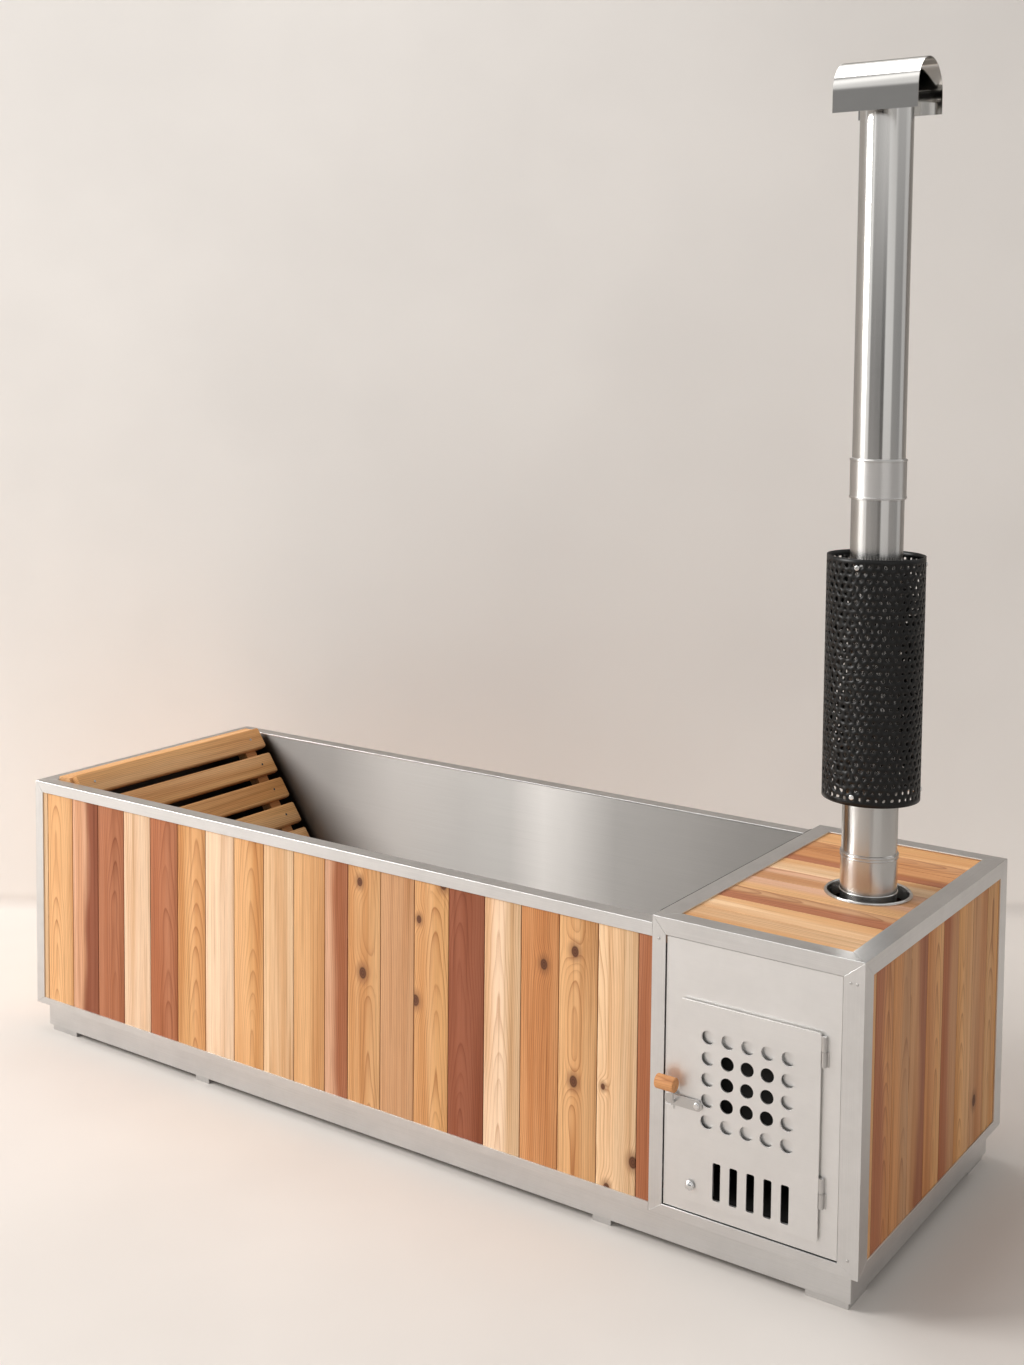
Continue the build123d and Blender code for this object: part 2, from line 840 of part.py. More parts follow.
def fire_door_tray():
    """The tray behind the plate, closed but for a window behind the middle vents and the slots."""
    x0, x1, z0, z1 = tray_edges()
    t = tray_sheet
    tray = block(x0, x1, door_back, door_back + tray_depth, z0, z1)
    tray -= block(x0 + t, x1 - t, door_back - 1, door_back + tray_depth - t, z0 + t, z1 - t)
    a, b, c, d = window_edges()
    tray -= block(a, b, door_back, door_back + 2 * tray_depth, c, d)
    half = (slot_pitch * (slot_count - 1) + slot_width) / 2 + t
    x = door_x + slot_centre_x
    z = door_bottom + slot_centre_z
    tray -= block(x - half, x + half, door_back, door_back + 2 * tray_depth,
                  z - slot_height / 2 + t, z + slot_height / 2 + t)
    return tray - along_y(pivot_radius + 2, door_back - 1, door_back + 2 * tray_depth, pivot_x, pivot_z)


def fire_door_shield():
    """The plate that keeps embers from the vents, on four studs from the tray."""
    x0, x1, _, z1 = tray_edges()
    a, b, c, d = window_edges()
    margin = (x1 - b) / 2
    y0 = door_back + tray_depth
    y1 = y0 + shield_space
    reach = 2 * shield_stud_radius + margin / 2
    plate = block(a - reach, b + reach, y1, y1 + shield_thickness, c - reach, d + reach)
    for x in (a - reach / 2, b + reach / 2):
        for z in (c - reach / 2, d + reach / 2):
            plate += along_y(shield_stud_radius, y0 + gap, y1 + 1, x, z)
    return plate


def fire_door_seal():
    """A flat ring of heat-proof rope between the door plate and the panel."""
    y1 = panel_front - gap
    x0 = (door_x + opening_x0) / 2 - seal_rope / 2
    x1 = (door_x + door_width + opening_x1) / 2 + seal_rope / 2
    z0 = (door_bottom + opening_z0) / 2 - seal_rope / 2
    z1 = (door_bottom + door_height + opening_z1) / 2 + seal_rope / 2
    ring = block(x0, x1, door_back, y1, z0, z1)
    return ring - block(x0 + seal_rope, x1 - seal_rope, door_back - 1, y1 + 1, z0 + seal_rope, z1 - seal_rope)


def domed(radius, neck_radius, neck, dome, place):
    """A turned fixing: a neck that stands on a face and a domed head, along its own Z."""
    head = Pos(0, 0, neck) * Cylinder(radius, dome, align=(Align.CENTER, Align.CENTER, Align.MIN))
    head = fillet(head.edges().group_by(Axis.Z)[-1], dome * 0.85)
    stem = Cylinder(neck_radius, neck + dome / 2, align=(Align.CENTER, Align.CENTER, Align.MIN))
    return place * (head + stem)


def outwards(x, y, z):
    """A place on a front face whose own Z points at someone standing before the stove."""
    return Pos(x, y, z) * Rot(90, 0, 0)


def door_stud():
    return domed(stud_radius, stud_radius * 0.55, 2.5, stud_radius * 0.75,
                 outwards(door_x + stud_x, door_front, door_bottom + stud_z))


def latch_pivot():
    """The screw on which the latch bar turns: shank in the plate, spacer, shoulder and head."""
    shank = along_y(pivot_radius, bar_front - gap - 1, door_back + 2, pivot_x, pivot_z)
    spacer = along_y(pivot_head_radius, bar_back + gap, door_front, pivot_x, pivot_z)
    head = domed(pivot_head_radius, pivot_radius, gap, 3.2, outwards(pivot_x, bar_front, pivot_z))
    return shank + spacer + head


def latch_bar():
    """The flat bar with round ends, and the bent rod that carries the grip."""
    x0 = pivot_x - latch_reach
    x1 = pivot_x + latch_tail
    z0 = pivot_z - latch_height / 2
    bar = block(x0, x1, bar_front, bar_back, z0, z0 + latch_height)
    bar = fillet(bar.edges().filter_by(Axis.Y), latch_height / 2 - 1)
    bar -= along_y(pivot_radius + pivot_running, bar_front - 1, bar_back + 1, pivot_x, pivot_z)
    rod_x = pivot_x - rod_from_pivot
    grip_z = pivot_z + grip_rise
    path = FilletPolyline((rod_x, bar_back - 0.5, pivot_z), (rod_x, grip_y, pivot_z),
                          (rod_x, grip_y, grip_z), radius=rod_bend)
    start = Plane(origin=path @ 0, z_dir=path % 0)
    return bar + sweep(start * Circle(rod_radius), path=path)


def latch_grip():
    """A turned wood grip across the top of the rod, with eased ends."""
    centre = pivot_x - grip_from_pivot
    grip = along_x(grip_radius, centre - grip_length / 2, centre + grip_length / 2, grip_y,
                   pivot_z + grip_rise)
    grip = fillet(grip.edges().filter_by(GeomType.CIRCLE), 2)
    socket = upright(rod_radius + gap / 2, pivot_z, pivot_z + grip_rise + gap, pivot_x - rod_from_pivot,
                     grip_y)
    return grip - socket


def latch_keeper():
    """A folded shelf on the panel, on which the bar's free end comes to rest."""
    x0 = pivot_x - latch_reach + 2
    x1 = x0 + keeper_width
    top = pivot_z - latch_height / 2 - gap
    shelf = block(x0, x1, bar_front, panel_front, top - sheet, top)
    return shelf + block(x0, x1, panel_front - sheet, panel_front, top - keeper_width, top)


def hinge_places():
    return [door_bottom + hinge_low, door_bottom + hinge_high]


def door_barrel(z):
    """The upper half of a hinge, welded to the door's edge, with a bore for the pin."""
    z0 = z + barrel_half + barrel_gap
    radius = barrel_radius - gap
    barrel = upright(radius, z0, z0 + barrel_half, hinge_x, hinge_y)
    y0 = max(door_front, hinge_y - radius)
    barrel += block(door_x + door_width, hinge_x, y0 + gap, door_back - gap, z0, z0 + barrel_half)
    bore = upright(hinge_pin_radius + hinge_running, z0 - 1, z0 + barrel_half * 0.8, hinge_x, hinge_y)
    return barrel - bore


def frame_barrel(z):
    """The lower half, standing off the panel on a short lug, with a bore for the pin."""
    barrel = upright(barrel_radius, z, z + barrel_half, hinge_x, hinge_y)
    barrel += block(hinge_x, hinge_x + barrel_radius + hinge_lug, hinge_y + hinge_pin_radius, panel_front,
                    z, z + barrel_half)
    return barrel - upright(hinge_pin_radius + hinge_running, z + barrel_half * 0.2, z + 2 * barrel_half,
                            hinge_x, hinge_y)


def hinge_pin(z):
    low = z + barrel_half * 0.2 + gap
    high = z + barrel_half + barrel_gap + barrel_half * 0.8 - gap
    return upright(hinge_pin_radius, low, high, hinge_x, hinge_y)


# The flue


def flue_place(height=0.0):
    return Pos(flue_centre_x, flue_centre_y, stove_height + height)


def bead(radius, z, size):
    """Points of a rounded raised ring on a pipe, from below to above."""
    return [(radius, z - size), (radius + size * 0.7, z - size * 0.6), (radius + size, z),
            (radius + size * 0.7, z + size * 0.6), (radius, z + size)]


def flue_base_pipe():
    """The pipe on the stove's spigot: a wide socket, then a plain run that narrows at its top."""
    foot = -2 * deck_thickness - insertion
    inner = spigot_radius - 1 + gap
    r = base_pipe_radius
    neck = upper_pipe_radius + gap + flue_wall
    outside = [(socket_radius, foot)] + bead(socket_radius, 4.0, socket_bead / 2)
    outside += bead(socket_radius, socket_top - socket_bead, socket_bead / 2)
    outside += [(socket_radius, socket_top), (r, socket_top + socket_lip),
                (r, base_pipe_top - insertion - neck_taper),
                (neck, base_pipe_top - insertion), (neck, base_pipe_top)]
    inside = [(upper_pipe_radius + gap, base_pipe_top), (upper_pipe_radius + gap, base_pipe_top - insertion),
              (r - flue_wall, base_pipe_top - insertion - neck_taper), (r - flue_wall, 0),
              (inner, -2 * flue_wall), (inner, foot)]
    return turned(outside + inside, flue_place())


def straight_pipe(low, high):
    r = upper_pipe_radius
    return turned([(r - flue_wall, low), (r, low), (r, high), (r - flue_wall, high)], flue_place())


def flue_coupling():
    """A band over the joint of the two pipes, with a rolled bead near each end."""
    low = coupling_bottom
    high = low + coupling_height
    inner = upper_pipe_radius + gap
    outside = [(coupling_radius, low)] + bead(coupling_radius, low + 2 * coupling_bead, coupling_bead)
    outside += bead(coupling_radius, high - 2 * coupling_bead, coupling_bead)
    return turned([(inner, low)] + outside + [(coupling_radius, high), (inner, high)], flue_place())


def deck_collar():
    """The ring round the hole in the deck, with a rolled edge and a sleeve through the boards."""
    bore = collar_bore
    under = -angle_wall + gap
    section = [(bore, -angle_wall - deck_thickness), (bore + collar_wall, -angle_wall - deck_thickness),
               (bore + collar_wall, under), (collar_radius, under), (collar_radius, under + 1.2),
               (bore + 3.5, under + collar_rise), (bore + 1, under + collar_rise + 0.6),
               (bore, under + collar_rise)]
    return turned(section, flue_place())


def guard_cutter(angle, z, turn):
    """One uneven six-sided hole, pushed through the guard's wall at an angle round the flue."""
    size = guard_hole_size
    corners = []
    for i in range(6):
        a = radians(60 * i) + turn
        reach = size * (1 + 0.22 * sin(3 * turn + 2.1 * i))
        corners.append((reach * cos(a), reach * sin(a)))
    inner = guard_radius - 4 * guard_wall
    place = Plane(origin=(inner * cos(angle), inner * sin(angle), z),
                  x_dir=(-sin(angle), cos(angle), 0), z_dir=(cos(angle), sin(angle), 0))
    return prism(place, corners, 6 * guard_wall)


def heat_guard():
    """A perforated sleeve, open at both ends: staggered rows of uneven holes."""
    r = guard_radius
    section = [(r - guard_wall, 0), (r, 0), (r, guard_height), (r - guard_wall, guard_height)]
    sleeve = turned(section, Pos(0, 0, 0))
    pitch = (guard_height - 2 * guard_margin - 2 * guard_hole_size) / (guard_hole_rows - 1)
    step = 2 * pi / guard_holes_round
    cutters = []
    for row in range(guard_hole_rows):
        z = guard_margin + guard_hole_size + row * pitch
        for k in range(guard_holes_round):
            angle = (k + 0.5 * (row % 2) + 0.25) * step
            cutters.append(guard_cutter(angle, z, 0.9 * row + 1.7 * k))
    return flue_place(guard_bottom) * (sleeve - cutters)


def guard_spacers():
    """Three stand-offs near each end of the guard, each with the domed head of its screw."""
    spacers = []
    for end in (spacer_from_end, guard_height - spacer_from_end):
        height = guard_bottom + end
        pipe = base_pipe_radius if height < base_pipe_top - insertion else upper_pipe_radius
        for k in range(3):
            stand = Pos(0, 0, 0) * Rot(0, 0, 120 * k - 90) * Rot(0, 90, 0)
            tube = Pos(0, 0, pipe + gap) * Cylinder(
                spacer_radius, guard_radius - guard_wall - pipe - 2 * gap,
                align=(Align.CENTER, Align.CENTER, Align.MIN))
            head = domed(spacer_radius, 2, gap, 2.4, Pos(0, 0, guard_radius))
            spacers.append(flue_place(height) * stand * tube)
            spacers.append(flue_place(height) * stand * head)
    return spacers


# The rain cap


def saddle_face(half, spring, skirt):
    """The cap's outline seen along X: a half circle on two straight skirts."""
    arch = CenterArc((0, spring), half, 0, 180)
    lines = Polyline((half, spring), (half, spring - skirt), (-half, spring - skirt), (-half, spring))
    return make_face(arch + lines)


def rain_cap():
    half = cap_width / 2
    spring = cap_bottom + cap_skirt
    plane = Plane(origin=(-cap_length / 2, 0, 0), x_dir=(0, 1, 0), z_dir=(1, 0, 0))
    outer = extrude(plane * saddle_face(half, spring, cap_skirt), amount=cap_length)
    inner = extrude(plane * saddle_face(half - cap_sheet, spring, cap_skirt), amount=cap_length)
    return flue_place() * (outer - inner)


def cap_strap():
    """A strap folded over between the pipe's top and the cap's front skirt."""
    t = strap_sheet
    r = upper_pipe_radius + gap
    skirt = cap_width / 2 - cap_sheet - gap
    z1 = flue_top - gap
    z0 = z1 - strap_foot
    outline = [(-r, z0), (-r, z1), (-skirt, z1), (-skirt, z0), (-skirt + t, z0), (-skirt + t, z1 - t),
               (-r - t, z1 - t), (-r - t, z0)]
    plane = Plane(origin=(-strap_width / 2, 0, 0), x_dir=(0, 1, 0), z_dir=(1, 0, 0))
    strap = extrude(plane * make_face(Polyline(*outline, close=True)), amount=strap_width)
    strap -= upright(r, z0 - 1, z1)
    return strap


def cap_straps():
    strap = cap_strap()
    return flue_place() * strap, flue_place() * Rot(0, 0, 180) * strap


# The backrest


def backrest_place():
    """A place at the top edge of the slats' face: own X along Y, own Z up the slope."""
    lean = Rot(0, -recline, 0)
    x = tub_inside + backrest_head
    return Pos(x, 0, backrest_top) * lean


def slat_run():
    return tub_inside + slat_side_space, width - tub_inside - slat_side_space


def backrest_slats():
    """Level slats up the slope, each with rounded corners on its face."""
    y0, y1 = slat_run()
    slats = []
    for i in range(slat_count):
        top = -i * slat_pitch
        slat = block(0, slat_thickness, y0, y1, top - slat_width, top)
        slat = fillet(slat.edges().filter_by(Axis.X), slat_corner)
        slats.append(backrest_place() * slat)
    return slats


def slope_length():
    """From the top of the slats down the slope to the tub's floor."""
    return (backrest_top - tub_floor - sheet) / cos(radians(recline))


def backrest_battens():
    """Two sloping battens behind the slats, cut level where they stand on the tub's floor."""
    y0, y1 = slat_run()
    floor = tub_floor + sheet + gap
    wall = tub_inside + gap
    battens = []
    for y in (y0 + backrest_batten_inset, y1 - backrest_batten_inset):
        low = -slope_length() - backrest_batten_depth
        batten = block(-backrest_batten_depth, -gap, y - backrest_batten_width / 2,
                       y + backrest_batten_width / 2, low, 0)
        batten = backrest_place() * batten
        keep = block(wall, length, 0, width, floor, backrest_top - top_rail_height - gap)
        battens.append(batten & keep)
    return battens


def backrest_top_rail():
    """The rail along the head rim that closes the top of the backrest."""
    y0, y1 = slat_run()
    x0 = tub_inside + gap
    z0 = backrest_top - top_rail_height
    slope = tan(radians(recline))
    face = tub_inside + backrest_head - gap * 2
    outline = [(x0, z0), (face + top_rail_height * slope, z0), (face, backrest_top), (x0, backrest_top)]
    plane = front_plane(y0 - slat_side_space / 2)
    return prism(plane, [(-x, z) for x, z in outline], y1 - y0 + slat_side_space)


def backrest_screws():
    """A countersunk screw through each end of each slat into its batten."""
    y0, y1 = slat_run()
    screws = []
    for i in range(slat_count):
        z = -i * slat_pitch - slat_width / 2
        for y in (y0 + backrest_batten_inset, y1 - backrest_batten_inset):
            disc = Pos(slat_thickness + gap / 2, y, z) * Rot(0, 90, 0) * Cylinder(
                screw_radius, screw_head, align=(Align.CENTER, Align.CENTER, Align.MIN))
            screws.append(backrest_place() * disc)
    return screws


# Corner rivets of the stove's front


def frame_rivets():
    z = stove_height - stove_rail_face - rivet_from_rail
    places = [(stove_x + stove_post_narrow / 2, z), (length - stove_post_wide * 0.65, z),
              (length - stove_post_wide * 0.35, z),
              (length - stove_post_wide / 2, frame_base + rivet_from_floor)]
    return [domed(rivet_radius, rivet_radius / 2, gap, rivet_head, outwards(x, 0, h)) for x, h in places]


def build():
    os.makedirs("parts", exist_ok=True)
    long_rail = plinth_long_rail()
    end_rail = plinth_end_rail()
    save("plinth_long_rails", long_rail, mirrored(long_rail))
    save("plinth_end_rails", end_rail, swapped_end(end_rail))
    save("feet", *feet())
    save("cross_bearers", *cross_bearers())
    save("base_panel", base_panel())
    save("stove_base_plate", stove_base_plate())

    rims = tub_rims()
    sills = tub_sills()
    for name, rim in zip(("front_rim", "back_rim", "head_rim"), rims):
        save(name, rim)
    save("tub_sills", *sills)
    save("tub_posts", *tub_posts((rims[0], rims[2], sills[0], sills[2])))
    long_rails, cross_rails = stove_rails()
    long_sills, cross_sills = stove_sills()
    save("deck_long_rails", *long_rails)
    save("deck_cross_rails", *cross_rails)
    save("stove_long_sills", *long_sills)
    save("stove_cross_sills", *cross_sills)
    others = (long_rails[0], long_sills[0], *cross_rails, *cross_sills)
    inner_posts, outer_posts = stove_posts(others)
    save("stove_inner_posts", *inner_posts)
    save("stove_outer_posts", *outer_posts)

    boards = front_boards()
    board_low = ledge_top + gap
    board_high = rim_height - angle_wall - sheet - gap
    save("front_boards", *boards)
    save("back_boards", *[mirrored(board) for board in boards])
    save("head_boards", *end_boards(angle_wall, -1, board_low, board_high))
    save("stove_end_boards", *end_boards(length - angle_wall, 1, board_low, deck_top - gap))
    save("stove_back_boards", *stove_back_boards())
    save("deck_boards", *deck_boards())
    save("cladding_battens", *cladding_battens())
    save("deck_ledgers", *deck_ledgers())

    save("tub", tub())
    save("rim_seal", rim_seal())
    save("drain_waste", *drain_waste())
    save("drain_plug", drain_plug())
    save("circulation_pipes", circulation_pipe(port_low), circulation_pipe(port_high))

    save("stove_front_panel", stove_front_panel())
    save("fire_chamber", fire_chamber())
    save("water_jacket", water_jacket())
    save("fire_grate", fire_grate())

    save("fire_door_plate", fire_door_plate())
    save("fire_door_tray", fire_door_tray())
    save("fire_door_shield", fire_door_shield())
    save("fire_door_seal", fire_door_seal())
    save("door_stud", door_stud())
    save("door_hinge_barrels", *[door_barrel(z) for z in hinge_places()])
    save("frame_hinge_barrels", *[frame_barrel(z) for z in hinge_places()])
    save("hinge_pins", *[hinge_pin(z) for z in hinge_places()])
    save("latch_pivot", latch_pivot())
    save("latch_bar", latch_bar())
    save("latch_grip", latch_grip())
    save("latch_keeper", latch_keeper())

    save("flue_base_pipe", flue_base_pipe())
    save("flue_middle_pipe", straight_pipe(base_pipe_top - insertion + gap,
                                           coupling_bottom + coupling_height / 2 - gap))
    save("flue_coupling", flue_coupling())
    save("flue_upper_pipe", straight_pipe(coupling_bottom + coupling_height / 2, flue_top))
    save("deck_collar", deck_collar())
    save("heat_guard", heat_guard())
    save("guard_spacers", *guard_spacers())
    save("rain_cap", rain_cap())
    save("cap_straps", *cap_straps())

    save("backrest_slats", *backrest_slats())
    save("backrest_battens", *backrest_battens())
    save("backrest_top_rail", backrest_top_rail())
    save("backrest_screws", *backrest_screws())
    save("frame_rivets", *frame_rivets())


build()
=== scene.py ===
"""Looks of a wood-burning hot tub: laid out as an add-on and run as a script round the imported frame."""

import json
import math

import bmesh
import bpy
import numpy as np
from bpy.props import FloatProperty, FloatVectorProperty, IntProperty, PointerProperty
from mathutils import Matrix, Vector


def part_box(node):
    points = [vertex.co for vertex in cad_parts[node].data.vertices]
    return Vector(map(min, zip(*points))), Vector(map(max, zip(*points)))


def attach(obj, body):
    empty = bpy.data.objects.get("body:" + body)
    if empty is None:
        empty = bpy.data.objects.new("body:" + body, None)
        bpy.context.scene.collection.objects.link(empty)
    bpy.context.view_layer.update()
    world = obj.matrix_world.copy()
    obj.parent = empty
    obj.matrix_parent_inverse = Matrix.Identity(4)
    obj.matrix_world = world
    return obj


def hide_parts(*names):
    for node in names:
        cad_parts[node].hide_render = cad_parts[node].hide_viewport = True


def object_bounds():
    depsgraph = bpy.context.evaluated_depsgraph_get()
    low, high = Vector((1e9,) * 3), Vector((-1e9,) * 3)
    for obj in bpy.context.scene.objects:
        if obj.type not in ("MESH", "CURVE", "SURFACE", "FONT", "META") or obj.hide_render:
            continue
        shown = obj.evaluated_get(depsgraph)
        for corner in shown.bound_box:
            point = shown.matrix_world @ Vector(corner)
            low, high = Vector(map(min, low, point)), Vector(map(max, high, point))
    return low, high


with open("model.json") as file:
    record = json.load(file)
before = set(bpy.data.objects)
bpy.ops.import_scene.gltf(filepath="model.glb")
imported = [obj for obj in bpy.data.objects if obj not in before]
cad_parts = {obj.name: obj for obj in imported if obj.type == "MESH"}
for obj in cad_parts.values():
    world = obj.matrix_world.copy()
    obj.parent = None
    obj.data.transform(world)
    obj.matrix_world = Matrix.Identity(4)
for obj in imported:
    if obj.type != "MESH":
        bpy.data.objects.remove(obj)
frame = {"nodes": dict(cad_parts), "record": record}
CAD_BOX = [[float(v) for v in corner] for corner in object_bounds()]

bl_info = {
    "name": "Wood-burning hot tub",
    "version": (1, 0, 0),
    "blender": (4, 5, 0),
    "location": "3D Viewport > Sidebar > Hot tub",
    "description": "Timber, steel, flue and stage of a wood-burning hot tub",
    "category": "Object",
}

MM = 0.001
TUB = "tub_and_stove"

# Timber tones, as linear colours, named for how the boards look
TONES = {
    "honey": (0.86, 0.50, 0.235),
    "gold": (0.84, 0.46, 0.19),
    "orange": (0.74, 0.36, 0.15),
    "pale": (0.95, 0.66, 0.40),
    "cream": (0.98, 0.72, 0.50),
    "pink": (0.82, 0.49, 0.32),
    "tan": (0.70, 0.39, 0.20),
    "red": (0.54, 0.215, 0.105),
    "dark_red": (0.36, 0.115, 0.055),
}

# Front boards from the head end: left tone, right tone, cut of the log, share of knots
FRONT_BOARDS = (
    ("pale", "pale", "rift", 0.0),
    ("honey", "honey", "flat", 0.35),
    ("pink", "dark_red", "rift", 0.0),
    ("red", "red", "flat", 0.0),
    ("cream", "cream", "rift", 0.0),
    ("red", "red", "flat", 0.0),
    ("gold", "honey", "flat", 0.0),
    ("cream", "cream", "quarter", 0.0),
    ("honey", "gold", "flat", 0.0),
    ("pale", "pale", "quarter", 0.0),
    ("honey", "honey", "rift", 0.0),
    ("pink", "red", "rift", 0.0),
    ("honey", "honey", "flat", 0.8),
    ("tan", "tan", "rift", 0.0),
    ("honey", "gold", "flat", 0.5),
    ("dark_red", "dark_red", "flat", 0.0),
    ("cream", "pale", "flat", 0.0),
    ("orange", "orange", "rift", 0.5),
    ("honey", "honey", "flat", 0.5),
    ("pale", "pale", "rift", 0.6),
    ("red", "red", "rift", 0.0),
)
END_BOARDS = (
    ("honey", "honey", "rift", 0.0),
    ("red", "orange", "flat", 0.0),
    ("orange", "tan", "flat", 0.0),
    ("tan", "red", "rift", 0.0),
    ("orange", "gold", "flat", 0.3),
    ("red", "tan", "rift", 0.0),
    ("gold", "honey", "flat", 0.0),
    ("tan", "orange", "rift", 0.3),
    ("honey", "gold", "flat", 0.0),
)
DECK_BOARDS = (
    ("honey", "pale", "rift", 0.0),
    ("pale", "honey", "rift", 0.0),
    ("red", "tan", "flat", 0.0),
    ("honey", "pink", "rift", 0.0),
    ("tan", "pink", "flat", 0.2),
    ("pale", "honey", "quarter", 0.0),
    ("red", "orange", "rift", 0.0),
    ("orange", "tan", "flat", 0.0),
    ("honey", "gold", "rift", 0.3),
    ("tan", "red", "flat", 0.0),
    ("honey", "honey", "rift", 0.0),
)
# How far the log's heart lies to one side, how deep it lies and how fast it tapers, in metres
CUTS = {
    "flat": (0.012, 0.016, 0.045),
    "rift": (0.075, 0.030, 0.020),
    "quarter": (0.150, 0.012, 0.010),
}
# How dark the wood is across one year ring, from the spring's wood to the autumn's
YEAR_RING = ((0.0, 0.0), (0.50, 0.06), (0.80, 0.5), (0.92, 1.0), (1.0, 0.05))

# Boards: what each covers, its thickness, the narrow first board, the ripped twelfth, the one at a corner
BOARD_COVER, BOARD_THICK = 84.5 * MM, 18 * MM
FIRST_BOARD, RIPPED_BOARD, CORNER_BOARD = 36 * MM, 61 * MM, 53 * MM
BEFORE_RIPPED = 10
# Deck: the tub's width, the rail at each side, how far the first board runs under it, boards between
TUB_WIDTH, DECK_RAIL, UNDER_RAIL, DECK_ACROSS = 720 * MM, 38 * MM, 32.7 * MM, 9

# Flue: radius of each pipe outside, of the band, the socket and the reduced neck, and the sheet's wall
PIPE_WALL, PIPE_RADIUS = 1.2 * MM, 48 * MM
BAND_RADIUS, BAND_WALL = 51 * MM, 2.7 * MM
SOCKET_RADIUS, BASE_RADIUS, NECK_RADIUS = 52.5 * MM, 51 * MM, 49.5 * MM
SOCKET_RISE, NECK_START, NECK_END = 78 * MM, 52 * MM, 40 * MM
# Ring in the deck: its bore, its flat's radius and the radius of its rolled lip
RING_BORE, RING_FLAT, RING_LIP = 75 * MM, 81.4 * MM, 2.6 * MM

# The room by compass direction, from -X through -Y and +X to +Y: share of a full turn, grey level
ROOM = (
    (0.000, 0.95), (0.020, 1.0), (0.170, 1.0), (0.178, 0.24), (0.235, 0.26), (0.250, 0.22),
    (0.305, 0.20), (0.316, 0.05), (0.345, 0.05), (0.356, 0.85), (0.440, 0.85), (0.455, 0.34),
    (0.560, 0.30), (0.580, 0.60), (0.640, 0.55), (0.660, 0.25), (0.900, 0.30), (0.940, 0.12),
    (0.970, 0.12), (0.985, 0.95),
)


# The same for the light from above
CEILING = (
    (0.000, 0.55), (0.118, 0.50), (0.132, 0.34), (0.146, 0.36), (0.156, 1.0), (0.167, 1.0),
    (0.177, 0.60), (0.200, 0.52), (0.340, 0.72), (0.480, 0.42), (0.600, 0.50), (0.700, 0.85),
    (0.985, 0.60),
)


# Painted reflection on the tub's sheet from the head end to the stove end: bright and dull bands of reflected
# room, as share of the length and grey level, multiplied into its colour
TUB_PAINTED_REFLECTION = ((0.0, 0.22), (0.16, 0.28), (0.26, 0.44), (0.36, 0.50), (0.43, 0.62), (0.475, 0.92), (0.51, 0.90),
             (0.57, 0.68), (0.66, 0.76), (0.80, 0.70))


# Settings a user would change


class TimberLooks(bpy.types.PropertyGroup):
    """Sizes of the timber's figure and of the boards' edges."""

    ring: FloatProperty(name="Ring width", description="Mean width of a year ring", default=0.0042,
                        min=0.001, unit="LENGTH")
    ease: FloatProperty(name="Eased edge", description="Radius on the long edges of the boards",
                        default=0.0022, min=0.0, unit="LENGTH")
    seed: IntProperty(name="Seed", description="Which logs the boards are cut from", default=7)


class SteelLooks(bpy.types.PropertyGroup):
    """Colours and edges of the steel."""

    bar: FloatVectorProperty(name="Bar", description="Colour of the angle bars", subtype="COLOR",
                             default=(0.79, 0.785, 0.78), min=0.0, max=1.0)
    panel: FloatVectorProperty(name="Panel", description="Colour of the stove's front and door",
                               subtype="COLOR", default=(0.88, 0.87, 0.86), min=0.0, max=1.0)
    edge: FloatProperty(name="Edge", description="Width of the rounded edge on bars and plates",
                        default=0.0012, min=0.0, unit="LENGTH")


class FlueLooks(bpy.types.PropertyGroup):
    """The flue and the perforated guard round it."""

    segments: IntProperty(name="Segments", description="Sides of each turned pipe", default=128, min=24)
    rows: IntProperty(name="Hole rows", description="Rows of holes up the guard", default=34, min=4)
    columns: IntProperty(name="Holes round", description="Holes round the guard", default=38, min=6)
    open_share: FloatProperty(name="Open share", description="Size of a hole in its cell",
                              default=0.53, min=0.1, max=0.9, subtype="FACTOR")


class StageLooks(bpy.types.PropertyGroup):
    """Floor, wall and light."""

    wall: FloatVectorProperty(name="Wall", description="Colour of the wall", subtype="COLOR",
                              default=(0.84, 0.81, 0.78), min=0.0, max=1.0)
    floor: FloatVectorProperty(name="Floor", description="Colour of the floor", subtype="COLOR",
                               default=(0.775, 0.73, 0.69), min=0.0, max=1.0)
    key: FloatProperty(name="Key light", description="Power of the large soft light at the left",
                       default=450.0, min=0.0, unit="POWER")
    sky: FloatProperty(name="Surrounding light", description="Strength of the light all round",
                       default=0.85, min=0.0)
    mirrored: FloatProperty(name="Mirrored light", default=1.36, min=0.0,
                            description="Strength of the surroundings in polished steel")


# Surfaces worked out with numpy


def grid_quads(rows, columns, round_rows=False, round_columns=False):
    """Quads between the points of a grid; a round direction joins its last line to its first."""
    i = np.arange(rows if round_rows else rows - 1)
    j = np.arange(columns if round_columns else columns - 1)
    i, j = np.meshgrid(i, j, indexing="ij")
    below = (i + 1) % rows
    beside = (j + 1) % columns
    quads = np.stack([i * columns + j, i * columns + beside, below * columns + beside,
                      below * columns + j], -1)
    return quads.reshape(-1, 4)


def turned(profile, centre, segments):
    """Each profile point (radius, height) carried once round an upright line through centre."""
    profile = np.asarray(profile, float)
    angle = np.linspace(0, 2 * np.pi, segments, endpoint=False)
    ring = np.stack([np.cos(angle), np.sin(angle)], -1)
    points = np.empty((len(profile), segments, 3))
    points[..., :2] = np.asarray(centre[:2]) + profile[:, None, :1] * ring
    points[..., 2] = centre[2] + profile[:, 1:2]
    return points


def closed_turning(profile, centre, segments):
    """A turned wall: the profile's points form a loop, so rows and columns both close."""
    points = turned(profile, centre, segments)
    quads = grid_quads(len(profile), segments, True, True)
    return points.reshape(-1, 3), [tuple(q) for q in quads.tolist()]


